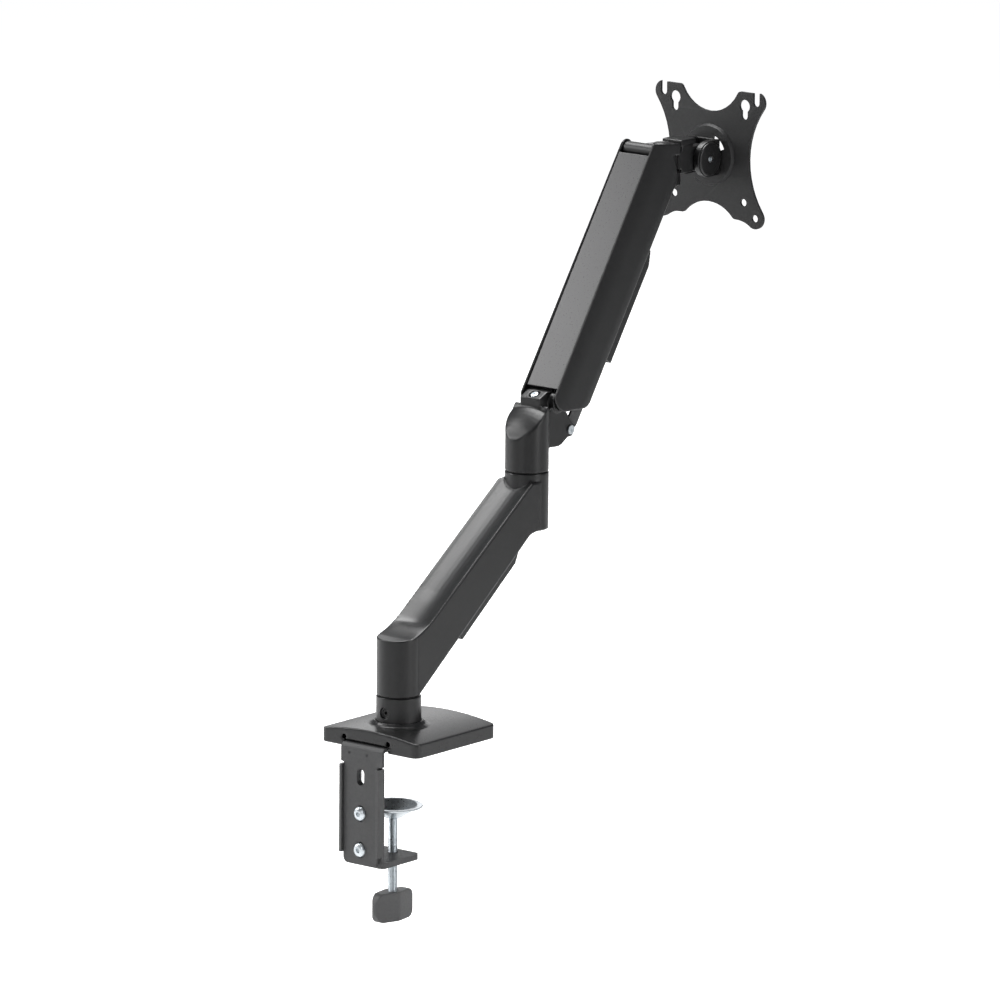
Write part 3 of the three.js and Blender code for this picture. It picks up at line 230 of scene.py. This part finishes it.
def coated(name, dark, light, rough, pebble_size, depth, edge_highlight_amount, edge_highlight_color, specular=0.5, metal=0.0):
    """A painted, moulded or plated surface: skin for tone and gloss, with a painted highlight that lightens
    the sharp edges over it.
    """
    material = bpy.data.materials.new(name)
    material.use_nodes = True
    nodes, links = material.node_tree.nodes, material.node_tree.links
    surface = nodes["Principled BSDF"]
    surface.inputs["Metallic"].default_value = metal
    surface.inputs["Specular IOR Level"].default_value = specular
    layer = nodes.new("ShaderNodeGroup")
    layer.node_tree = skin
    layer.inputs["Dark"].default_value = (*dark, 1)
    layer.inputs["Light"].default_value = (*light, 1)
    layer.inputs["Rough Low"].default_value = rough[0]
    layer.inputs["Rough High"].default_value = rough[1]
    layer.inputs["Pebble Size"].default_value = pebble_size
    edges = nodes.new("ShaderNodeGroup")
    edges.node_tree = painted_edge_highlight_group
    edges.inputs["Amount"].default_value = edge_highlight_amount
    # The lighter colour mixed in along the sharp edges is a painted highlight, not wear.
    mix = nodes.new("ShaderNodeMix")
    mix.data_type = "RGBA"
    mix.inputs[7].default_value = (*edge_highlight_color, 1)
    links.new(edges.outputs["Mask"], mix.inputs["Factor"])
    links.new(layer.outputs["Color"], mix.inputs[6])
    links.new(mix.outputs[2], surface.inputs["Base Color"])
    links.new(layer.outputs["Roughness"], surface.inputs["Roughness"])
    bump = nodes.new("ShaderNodeBump")
    bump.inputs["Strength"].default_value = 0.5
    bump.inputs["Distance"].default_value = depth * mm
    links.new(layer.outputs["Height"], bump.inputs["Height"])
    links.new(bump.outputs["Normal"], surface.inputs["Normal"])
    return material


def finished(piece, material, body, slot, *nodes):
    """Gives a piece its material and puts it on its body in place of the plain nodes."""
    piece.data.materials.clear()
    piece.data.materials.append(material)
    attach(piece, body)
    if nodes:
        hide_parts(*nodes)
    return piece


def baked(piece):
    """Turns a piece's modifiers into plain mesh."""
    bpy.context.view_layer.update()
    graph = bpy.context.evaluated_depsgraph_get()
    mesh = bpy.data.meshes.new_from_object(piece.evaluated_get(graph))
    old = piece.data
    piece.modifiers.clear()
    piece.data = mesh
    bpy.data.meshes.remove(old)
    return piece


def welded_copy(name, node):
    """A free copy of one node's solid, its split corners welded again."""
    form = bmesh.new()
    form.from_mesh(frame["nodes"][node].data)
    bmesh.ops.remove_doubles(form, verts=form.verts, dist=0.002 * mm)
    mesh = bpy.data.meshes.new(name)
    form.to_mesh(mesh)
    form.free()
    piece = bpy.data.objects.new(name, mesh)
    scene.collection.objects.link(piece)
    return piece


def cast_skin(name, node, grid, passes, rounds=(), prepare=None):
    """A cast or moulded piece: the solid skinned on a fine grid, its turned parts trued to
    their radius, and every edge melted round. rounds holds (x, y, radius) of upright turns."""
    piece = welded_copy(name, node)
    if prepare:
        prepare(piece)
    skinned = piece.modifiers.new("skin", "REMESH")
    skinned.mode = "VOXEL"
    skinned.voxel_size = grid * mm
    baked(piece)
    count = len(piece.data.vertices)
    points = np.empty(count * 3)
    piece.data.vertices.foreach_get("co", points)
    points = points.reshape(-1, 3)
    for x, y, radius in rounds:
        offset = points[:, :2] - (x, y)
        reach = np.hypot(*offset.T)
        near = np.abs(reach - radius) < 0.3 * mm
        points[near, :2] = (x, y) + offset[near] * (radius / reach[near])[:, None]
    piece.data.vertices.foreach_set("co", points.ravel())
    melt = piece.modifiers.new("melt", "SMOOTH")
    melt.factor = 0.5
    melt.iterations = passes
    baked(piece)
    piece.data.polygons.foreach_set("use_smooth", [True] * len(piece.data.polygons))
    return piece


# In each finish below, the last colour is the painted highlight along the sharp edges, and the number before
# it is its strength.
moulded_black = coated("moulded_black_abs", (0.01, 0.01, 0.0104), (0.015, 0.015, 0.0154), (0.27, 0.36), 2600,
                       0.01, 0.25, (0.06, 0.06, 0.062), specular=0.55)
finished(cast_skin("base_cover_moulding", "base_cover", 0.8, 4), moulded_black, "root", "black_plastic",
         "base_cover")

# ---------------------------------------------------------------------------------------------
# Steel of the clamp: base plate with its folded tongue, and the jaw bracket with its wings and
# ledge. Both are cut and folded from 3 mm sheet and powder coated dark grey.


def folded_steel(name, node, bevel, segments=3, flats=0.6):
    """Sheet or bar metal: flats kept flat, the cut edges broken by a small round."""
    piece = welded_copy(name, node)
    form = bmesh.new()
    form.from_mesh(piece.data)
    bmesh.ops.dissolve_limit(form, angle_limit=math.radians(flats), verts=form.verts, edges=form.edges)
    bmesh.ops.triangulate(form, faces=[face for face in form.faces if len(face.verts) > 4])
    bmesh.ops.dissolve_limit(form, angle_limit=math.radians(flats), verts=form.verts, edges=form.edges)
    form.to_mesh(piece.data)
    form.free()
    broken_edges = piece.modifiers.new("edges", "BEVEL")
    broken_edges.width = bevel * mm
    broken_edges.segments = segments
    broken_edges.limit_method = "ANGLE"
    broken_edges.angle_limit = math.radians(38)
    broken_edges.use_clamp_overlap = True
    baked(piece)
    even_shading(piece, 38)
    return piece


def smooth_by_angle(piece, degrees):
    piece.data.polygons.foreach_set("use_smooth", [True] * len(piece.data.polygons))
    piece.data.set_sharp_from_angle(angle=math.radians(degrees))


def even_shading(piece, degrees):
    """Smooth shading in which the large flats stay flat and only the small rounds turn."""
    smooth_by_angle(piece, degrees)
    weigh = piece.modifiers.new("weigh", "WEIGHTED_NORMAL")
    weigh.weight = 100
    weigh.keep_sharp = True
    baked(piece)


def middle(node):
    low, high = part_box(node)
    return (Vector(low) + Vector(high)) / 2


def turned_mesh(name, profile, sides=64):
    """Revolves [radius, height] points about local Z into one closed skin."""
    form = bmesh.new()
    rings = []
    for radius, height in profile:
        if radius == 0:
            rings.append([form.verts.new((0, 0, height * mm))])
            continue
        turns = [2 * math.pi * step / sides for step in range(sides)]
        rings.append([form.verts.new((radius * mm * math.cos(turn), radius * mm * math.sin(turn),
                                      height * mm))
                      for turn in turns])
    for lower, upper in zip(rings, rings[1:]):
        for step in range(sides):
            after = (step + 1) % sides
            if len(lower) == 1:
                form.faces.new((lower[0], upper[after], upper[step]))
            elif len(upper) == 1:
                form.faces.new((lower[step], lower[after], upper[0]))
            else:
                form.faces.new((lower[step], lower[after], upper[after], upper[step]))
    bmesh.ops.recalc_face_normals(form, faces=form.faces)
    mesh = bpy.data.meshes.new(name)
    form.to_mesh(mesh)
    form.free()
    piece = bpy.data.objects.new(name, mesh)
    scene.collection.objects.link(piece)
    return piece


def placed(piece, direction, origin):
    """Turns a piece's local Z to the given direction and moves its origin there, in its mesh."""
    spin = Vector((0, 0, 1)).rotation_difference(Vector(direction)).to_matrix().to_4x4()
    piece.data.transform(Matrix.Translation(origin) @ spin)
    return piece


clamp_grey = coated("clamp_grey_powder", (0.056, 0.056, 0.057), (0.074, 0.074, 0.075), (0.45, 0.6), 1500,
                    0.05, 0.4, (0.13, 0.13, 0.13))
tongued_plate = folded_steel("base_plate_steel", "base_plate", 0.4)
fold_y, fold_z = -43.6, -3.2
for x in (-16.5, 2.5):
    gusset = turned_mesh("gusset_tool", [(0, -2.2), (1.7, 0.6), (1.7, 3), (0, 3)], 4)
    placed(gusset, (0, -1, 0.5), Vector((x, fold_y, fold_z)) * mm)
    cut = tongued_plate.modifiers.new("gusset", "BOOLEAN")
    cut.object = gusset
    cut.solver = "EXACT"
    baked(tongued_plate)
    bpy.data.objects.remove(gusset)
even_shading(tongued_plate, 38)
finished(tongued_plate, clamp_grey, "root", "steel_paint", "base_plate")
finished(folded_steel("jaw_bracket_steel", "jaw_bracket", 0.4), clamp_grey, "root", "steel_paint",
         "jaw_bracket")

# ---------------------------------------------------------------------------------------------
# Desk pad: thin black sheet rubber glued under the base, with holes for the screw heads.
sheet_rubber = coated("sheet_rubber", (0.01, 0.01, 0.01), (0.018, 0.018, 0.018), (0.75, 0.92), 1800, 0.06,
                      0.2, (0.04, 0.04, 0.04), specular=0.3)
finished(folded_steel("desk_pad_rubber", "desk_pad", 0.25), sheet_rubber, "root", "rubber", "desk_pad")

# ---------------------------------------------------------------------------------------------
# Swivel post and its collar: a bright steel spindle inside, and round its foot a painted sleeve
# with a socket set screw in a sunk hole that sets how stiffly the arm swings.
powder_black = coated("powder_black_casting", (0.0075, 0.0075, 0.0078), (0.011, 0.011, 0.0113), (0.28, 0.38),
                      1500, 0.015, 0.3, (0.07, 0.07, 0.072), specular=0.5)
bright_zinc = coated("bright_zinc_plate", (0.62, 0.67, 0.7), (0.76, 0.8, 0.83), (0.26, 0.38), 600, 0.003,
                     0.3, (0.85, 0.87, 0.88), metal=1.0)
black_nylon = coated("black_nylon", (0.008, 0.008, 0.008), (0.015, 0.015, 0.015), (0.5, 0.65), 1200, 0.02,
                     0.1, (0.04, 0.04, 0.04))
black_oxide = coated("black_oxide_steel", (0.006, 0.006, 0.006), (0.014, 0.014, 0.014), (0.3, 0.42), 900,
                     0.02, 0.3, (0.06, 0.06, 0.06), specular=0.5)
finished(folded_steel("post_collar_sleeve", "post_collar", 0.5), powder_black, "root", "black_paint",
         "post_collar")
finished(folded_steel("collar_screw_steel", "collar_screw", 0.2), black_oxide, "root", "black_steel",
         "collar_screw")


def machined(name, node, body, bevel=0.25):
    """A small turned or hexagonal steel piece with its corners broken, zinc plated."""
    return finished(folded_steel(name, node, bevel, 2), bright_zinc, body, "zinc", node)


machined("post_spindle_steel", "post_spindle", "root", 0.4)
for number in (1, 2, 3, 4):
    machined(f"post_screw_{number}_steel", f"post_screw_{number}", "root")
for node, body in (("base_washer", "root"), ("base_bush", "lower_arm"), ("elbow_bush", "lower_arm"),
                   ("elbow_washer", "lower_arm"), ("pan_washer", "arm_tip"), ("plate_washer", "tilt")):
    finished(folded_steel(f"{node}_nylon", node, 0.12, 2), black_nylon, body, "nylon", node)

# ---------------------------------------------------------------------------------------------
# Jaw bolts: two M6 button heads with hexagon sockets through the slots of the tongue, and their
# nuts behind the bracket. Zinc plated.


def hexagon_cut(piece, across, floor, top):
    """Sinks a hexagon socket down local Z, between two heights."""
    corner = across / math.sqrt(3)
    tool = turned_mesh("socket_tool", [(0, floor - 0.5), (corner, floor), (corner, top), (0, top)], 6)
    cut = piece.modifiers.new("socket", "BOOLEAN")
    cut.object = tool
    cut.solver = "EXACT"
    baked(piece)
    bpy.data.objects.remove(tool)
    return piece


def dome(radius, high, steps=7):
    """Profile of a button head from its rim up to its crown."""
    return [(radius * math.cos(t) ** 0.6, high * math.sin(t)) for t in np.linspace(0, math.pi / 2 - 0.3,
                                                                                   steps)]


head_radius, head_high, head_room = 6.1, 2.95, 3
shank, shank_tip = 3, 2.6
for place_name in ("upper", "lower"):
    node = f"jaw_bolt_{place_name}"
    low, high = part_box(node)
    end = head_room - (high[1] - low[1]) / mm
    profile = [(0, end), (shank_tip, end), (shank, end + 0.4), (shank, 0), (head_radius, 0)]
    profile += dome(head_radius, head_high)[1:] + [(0, head_high - 0.05)]
    bolt = hexagon_cut(turned_mesh(f"{node}_steel", profile), 4, 1.2, 5)
    smooth_by_angle(bolt, 32)
    face = Vector((middle(node).x, low[1] + head_room * mm, middle(node).z))
    finished(placed(bolt, (0, -1, 0), face), bright_zinc, "root", "zinc", node)
    machined(f"jaw_nut_{place_name}_steel", f"jaw_nut_{place_name}", "root", 0.4)

# ---------------------------------------------------------------------------------------------
# Clamp screw: a pressed dish that swivels on the end of an M8 rod, the rod with its full thread,
# and a moulded wing knob at its foot.
dish_low, dish_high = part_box("clamp_cup")
dish_radius = (dish_high[0] - dish_low[0]) / 2 / mm
dish_deep = (dish_high[2] - dish_low[2]) / mm
dish = turned_mesh("clamp_cup_dish", [
    (2.9, 0), (6.6, 0), (7.4, 0.25), (dish_radius - 4.8, dish_deep - 2.1),
    (dish_radius - 4.1, dish_deep - 1.6),
    (dish_radius - 0.3, dish_deep - 1.6), (dish_radius, dish_deep - 1.2), (dish_radius, dish_deep - 0.4),
    (dish_radius - 0.4, dish_deep), (dish_radius - 4.3, dish_deep), (dish_radius - 5.1, dish_deep - 0.5),
    (6.9, 1.8), (6.2, 1.6), (2.9, 1.6), (2.9, 0)], 96)
smooth_by_angle(dish, 40)
rod_axis = middle("clamp_rod")
finished(placed(dish, (0, 0, 1), Vector((rod_axis.x, rod_axis.y, dish_low[2]))), bright_zinc, "clamp_foot",
         "zinc", "clamp_cup")


def threaded_rod(name, radius, pitch, low, high, sides=32, rows=8):
    """A rod whose skin winds as a real thread: each ring of points follows the helix."""
    form = bmesh.new()
    depth = 0.55 * pitch
    count = int((high - low) / pitch * rows)
    rings = []
    for row in range(count + 1):
        height = low + (high - low) * row / count
        ring = []
        for step in range(sides):
            turn = step / sides
            phase = ((height / pitch) - turn) % 1
            crest = min(1, max(0, abs(phase - 0.5) * 2.8 - 0.5))
            fade = min(1, (height - low) / pitch, (high - height) / pitch)
            reach = radius - depth * crest * 0.9 - 0.35 * (1 - fade)
            angle = 2 * math.pi * turn
            ring.append(form.verts.new((reach * mm * math.cos(angle), reach * mm * math.sin(angle),
                                        height * mm)))
        rings.append(ring)
    for lower, upper in zip(rings, rings[1:]):
        for step in range(sides):
            after = (step + 1) % sides
            form.faces.new((lower[step], lower[after], upper[after], upper[step]))
    form.faces.new(list(reversed(rings[0])))
    form.faces.new(rings[-1])
    mesh = bpy.data.meshes.new(name)
    form.to_mesh(mesh)
    form.free()
    piece = bpy.data.objects.new(name, mesh)
    scene.collection.objects.link(piece)
    smooth_by_angle(piece, 50)
    return piece


rod_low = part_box("clamp_rod")[0]
seat_gap = 0.3
seat = dish_low[2] / mm - seat_gap
thread_radius, thread_pitch = 3.98, 1.25
thread = threaded_rod("clamp_rod_thread", thread_radius, thread_pitch, rod_low[2] / mm, seat)
rod_foot = Vector((rod_axis.x, rod_axis.y, 0))
finished(placed(thread, (0, 0, 1), rod_foot), bright_zinc, "clamp_screw", "zinc", "clamp_rod")
dish_foot = dish_low[2] / mm
rivet = turned_mesh("clamp_rod_rivet", [
    (0, seat - 0.2), (2.6, seat - 0.2), (2.6, dish_foot + 1.9), (4.4, dish_foot + 1.9),
    (4.55, dish_foot + 2.2), (4.1, dish_foot + 3.0), (2.4, dish_foot + 3.55), (0, dish_foot + 3.65)], 48)
smooth_by_angle(rivet, 40)
finished(placed(rivet, (0, 0, 1), rod_foot), bright_zinc, "clamp_screw", "zinc")

knob_plastic = coated("knob_plastic", (0.085, 0.085, 0.086), (0.11, 0.11, 0.111), (0.42, 0.56), 2400, 0.03,
                      0.25, (0.14, 0.14, 0.14))
knob = cast_skin("clamp_knob_moulding", "clamp_knob", 0.6, 6)
knob_low, knob_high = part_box("clamp_knob")
knob_middle = (knob_low + knob_high) / 2
wing_half = (knob_high.y - knob_low.y) / 2
corner = 8 * mm
for vertex in knob.data.vertices:
    along = vertex.co.y - knob_middle.y
    past = max(0, abs(along) - (wing_half - corner)) / corner
    squeeze = 1 - (corner / (knob_high.z - knob_low.z)) * 2 * (1 - math.sqrt(max(0, 1 - min(1, past) ** 2)))
    vertex.co.z = knob_middle.z + (vertex.co.z - knob_middle.z) * squeeze
finished(knob, knob_plastic, "clamp_screw", "black_plastic", "clamp_knob")

# ---------------------------------------------------------------------------------------------
# Lower arm: one die casting with a round foot, a beam whose top is hollowed like a spoon, and a
# round boss at the elbow; a cable trough clips under it.
reach = 0.167
boss_radius = 18.6 * mm
lower_turns = [(0, 0, boss_radius), (0, reach, boss_radius)]
lower_casting = cast_skin("lower_arm_casting", "lower_arm", 0.75, 4, lower_turns)


def eased(piece, passes, chosen):
    """Melts only the points that the test picks, by a blend that fades with its value."""
    group = piece.vertex_groups.new(name="eased")
    for vertex in piece.data.vertices:
        share = chosen(vertex.co)
        if share > 0:
            group.add([vertex.index], min(1, share), "REPLACE")
    melt = piece.modifiers.new("ease", "SMOOTH")
    melt.factor = 0.5
    melt.iterations = passes
    melt.vertex_group = group.name
    baked(piece)
    piece.data.polygons.foreach_set("use_smooth", [True] * len(piece.data.polygons))


def near_hollow(co):
    """The top face where the flat of the foot rises into the hollow of the beam."""
    face_low, rim_inside, rim_fade = 0.084, 0.0178, 0.0015
    start, spread = 0.024, 0.026
    if co.z < face_low or abs(co.x) > rim_inside:
        return 0
    across = min(1, (rim_inside - abs(co.x)) / rim_fade)
    return across * min(1, 2.4 * max(0, 1 - abs(co.y - start) / spread))


hollow_passes = 420
eased(lower_casting, hollow_passes, near_hollow)
finished(lower_casting, powder_black, "lower_arm", "black_paint", "lower_arm")
finished(cast_skin("lower_cable_cover_moulding", "lower_cable_cover", 0.5, 3), moulded_black, "lower_arm",
         "black_plastic", "lower_cable_cover")
machined("elbow_screw_steel", "elbow_screw", "elbow", 0.3)
machined("elbow_screw_washer_steel", "elbow_screw_washer", "elbow", 0.12)

# ---------------------------------------------------------------------------------------------
# Elbow knuckle: a casting with a domed shoulder, a short neck for the spring screw and two
# cheeks that carry the pivots. The shoulder is crowned from side to side.
knuckle_radius = 18.5 * mm
shoulder_low, shoulder_high, shoulder_front = 0.232, 0.246, 0.1705
crown = 3.4 * mm
knuckle = cast_skin("elbow_knuckle_casting", "elbow_knuckle", 0.55, 5, [(0, reach, knuckle_radius)])
for vertex in knuckle.data.vertices:
    x, y, z = vertex.co
    if z > shoulder_low and y < shoulder_front:
        rise = min(1, (z - shoulder_low) / (shoulder_high - shoulder_low))
        vertex.co.z -= crown * (x / knuckle_radius) ** 2 * rise * rise
eased(knuckle, 26, lambda co: min(1, (co.z - 0.222) / 0.006) if co.y < 0.172 and co.z < 0.262 else 0)
finished(knuckle, powder_black, "elbow", "black_paint", "elbow_knuckle")

joint = {item["name"]: item for item in frame["joints"]}
screw_axis = Vector(joint["tension_turn"]["axis"])
screw_top = Vector(joint["tension_turn"]["pos_m"])
tension = turned_mesh("tension_screw_steel", [
    (0, -38), (2.4, -38), (2.95, -37.4), (2.95, -3), (3.5, -3), (3.55, -0.7), (3.2, -0.2), (2.6, 0), (0, 0)],
    48)
hexagon_cut(tension, 2.6, -1.9, 1)
smooth_by_angle(tension, 35)
finished(placed(tension, screw_axis, screw_top), bright_zinc, "tension_screw", "zinc", "tension_screw")
machined("tension_trunnion_steel", "tension_trunnion", "elbow", 0.25)
for side in ("right", "left"):
    machined(f"link_screw_{side}_steel", f"link_screw_{side}", "elbow", 0.25)

# ---------------------------------------------------------------------------------------------
# Upper arm: a casting of two side walls and a web, closed on top by a satin cover strip that
# slides in between the walls.
lift_joint = Vector(joint["arm_lift"]["pos_m"])
tip_joint = Vector(joint["tip_level"]["pos_m"])
arm_run = (tip_joint - lift_joint).normalized()
arm_rise = Vector((0, -arm_run.z, arm_run.y))


def plugged(piece):
    """Closes the wall over the outer end of both pivot bores, so no pin shows outside."""
    plug_radius, plug_thick, plug_middle = 5.6 * mm, 1.8 * mm, 19.1 * mm
    form = bmesh.new()
    form.from_mesh(piece.data)
    for pivot in (lift_joint, tip_joint):
        for side in (-1, 1):
            place = Matrix.Translation(pivot + Vector((side * plug_middle, 0, 0)))
            bmesh.ops.create_cone(form, cap_ends=True, segments=40, radius1=plug_radius, radius2=plug_radius,
                                  depth=plug_thick, matrix=place @ Matrix.Rotation(math.pi / 2, 4, "Y"))
    form.to_mesh(piece.data)
    form.free()


arm_casting = cast_skin("upper_arm_casting", "upper_arm", 0.6, 3, prepare=plugged)
wall_skin, wall_inside = 18.9 * mm, 18
for vertex in arm_casting.data.vertices:
    if abs(vertex.co.x) > wall_skin:
        height = (vertex.co - lift_joint).dot(arm_rise) / mm
        roll_over = max(0, (height + 9) / 20) ** 2 + max(0, (-24 - height) / 14) ** 2
        vertex.co.x -= math.copysign(min(1.7, 1.5 * roll_over) * mm, vertex.co.x)
eased(arm_casting, 6, lambda co: min(1, (abs(co.x) / mm - wall_inside) / 0.6))
finished(arm_casting, powder_black, "upper_arm", "black_paint", "upper_arm")


def sunk(piece):
    """Shortens a pin or bush so that it ends behind the plugged wall."""
    for vertex in piece.data.vertices:
        vertex.co.x = max(-wall_inside * mm, min(wall_inside * mm, vertex.co.x))
    return piece


for node in ("lift_bush_left", "lift_bush_right", "tip_bush_left", "tip_bush_right"):
    finished(sunk(folded_steel(f"{node}_nylon", node, 0.12, 2)), black_nylon, "upper_arm", "nylon", node)
satin_strip = coated("satin_cover_strip", (0.022, 0.022, 0.023), (0.026, 0.026, 0.027), (0.27, 0.3), 1200,
                     0.0005, 0.2, (0.08, 0.08, 0.08), specular=0.7)
finished(folded_steel("arm_top_cover_strip", "arm_top_cover", 0.6), satin_strip, "upper_arm", "black_plastic",
         "arm_top_cover")
for node in ("lift_pin", "tip_pin"):
    finished(sunk(folded_steel(f"{node}_steel", node, 0.35, 2)), black_oxide, "upper_arm", "black_steel",
             node)
machined("gas_pin_steel", "gas_pin", "upper_arm", 0.35)

# ---------------------------------------------------------------------------------------------
# Parallel link under the arm, which keeps the head level, and the cable trough clipped to it.
finished(folded_steel("parallel_link_steel", "parallel_link", 0.4), clamp_grey, "parallel_link",
         "steel_paint", "parallel_link")
finished(cast_skin("upper_cable_cover_moulding", "upper_cable_cover", 0.5, 3), moulded_black, "parallel_link",
         "black_plastic", "upper_cable_cover")

# ---------------------------------------------------------------------------------------------
# Gas spring: a gloss black tube with an eye, and a ground rod with a forked end.
gloss_black = coated("gloss_black_tube", (0.008, 0.008, 0.008), (0.012, 0.012, 0.012), (0.14, 0.22), 600,
                     0.01, 0.2, (0.05, 0.05, 0.05), specular=0.6)
ground_rod = coated("ground_chrome_rod", (0.62, 0.64, 0.66), (0.74, 0.76, 0.78), (0.08, 0.14), 800, 0.005,
                    0.1, (0.8, 0.8, 0.8), metal=1.0)
finished(folded_steel("gas_tube_steel", "gas_tube", 0.4), gloss_black, "gas_tube", "black_tube", "gas_tube")
finished(folded_steel("gas_rod_steel", "gas_rod", 0.3), ground_rod, "gas_rod", "chromed_rod", "gas_rod")

# ---------------------------------------------------------------------------------------------
# Arm tip: the level block with its two lugs, and the upright pin that the head turns on.
finished(cast_skin("tip_block_casting", "tip_block", 0.45, 8), powder_black, "arm_tip", "black_paint",
         "tip_block")
machined("tip_link_pin_steel", "tip_link_pin", "arm_tip", 0.3)
finished(folded_steel("pan_pin_steel", "pan_pin", 0.3, 2), black_oxide, "arm_tip", "black_steel", "pan_pin")

# ---------------------------------------------------------------------------------------------
# Head: the yoke that turns on the pan pin, and the D-shaped tilt housing with its bolt, nut and
# round cap.
finished(cast_skin("head_yoke_casting", "head_yoke", 0.45, 22), powder_black, "head", "black_paint",
         "head_yoke")
finished(cast_skin("tilt_housing_casting", "tilt_housing", 0.45, 8), powder_black, "tilt", "black_paint",
         "tilt_housing")
cap_low, cap_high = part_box("tilt_cap")
cap_radius = (cap_high[1] - cap_low[1]) / 2 / mm
cap_thick = (cap_high[0] - cap_low[0]) / mm
cap = turned_mesh("tilt_cap_moulding", [
    (2.95, 0), (cap_radius - 0.1, 0), (cap_radius, 0.3), (cap_radius - 0.15, cap_thick - 0.5),
    (cap_radius - 0.6, cap_thick - 0.08), (cap_radius - 1.4, cap_thick), (3.3, cap_thick),
    (2.95, cap_thick - 0.3), (2.95, 0)], 96)
smooth_by_angle(cap, 40)
cap_place = Vector((cap_low[0], middle("tilt_cap").y, middle("tilt_cap").z))
finished(placed(cap, (1, 0, 0), cap_place), moulded_black, "tilt", "black_plastic", "tilt_cap")
machined("tilt_bolt_steel", "tilt_bolt", "tilt", 0.25)
machined("tilt_nut_steel", "tilt_nut", "tilt", 0.4)

# ---------------------------------------------------------------------------------------------
# Screen plate: pressed steel with the standard hole squares, a raised round boss at the centre,
# and the bolt that holds it to the tilt housing.
plate_grey = coated("plate_grey_powder", (0.012, 0.012, 0.0125), (0.018, 0.018, 0.0185), (0.42, 0.58), 1500,
                    0.05, 0.3, (0.09, 0.09, 0.09))
finished(folded_steel("screen_plate_steel", "screen_plate", 0.3), plate_grey, "screen_plate", "steel_paint",
         "screen_plate")
machined("plate_bolt_steel", "plate_bolt", "screen_plate", 0.25)
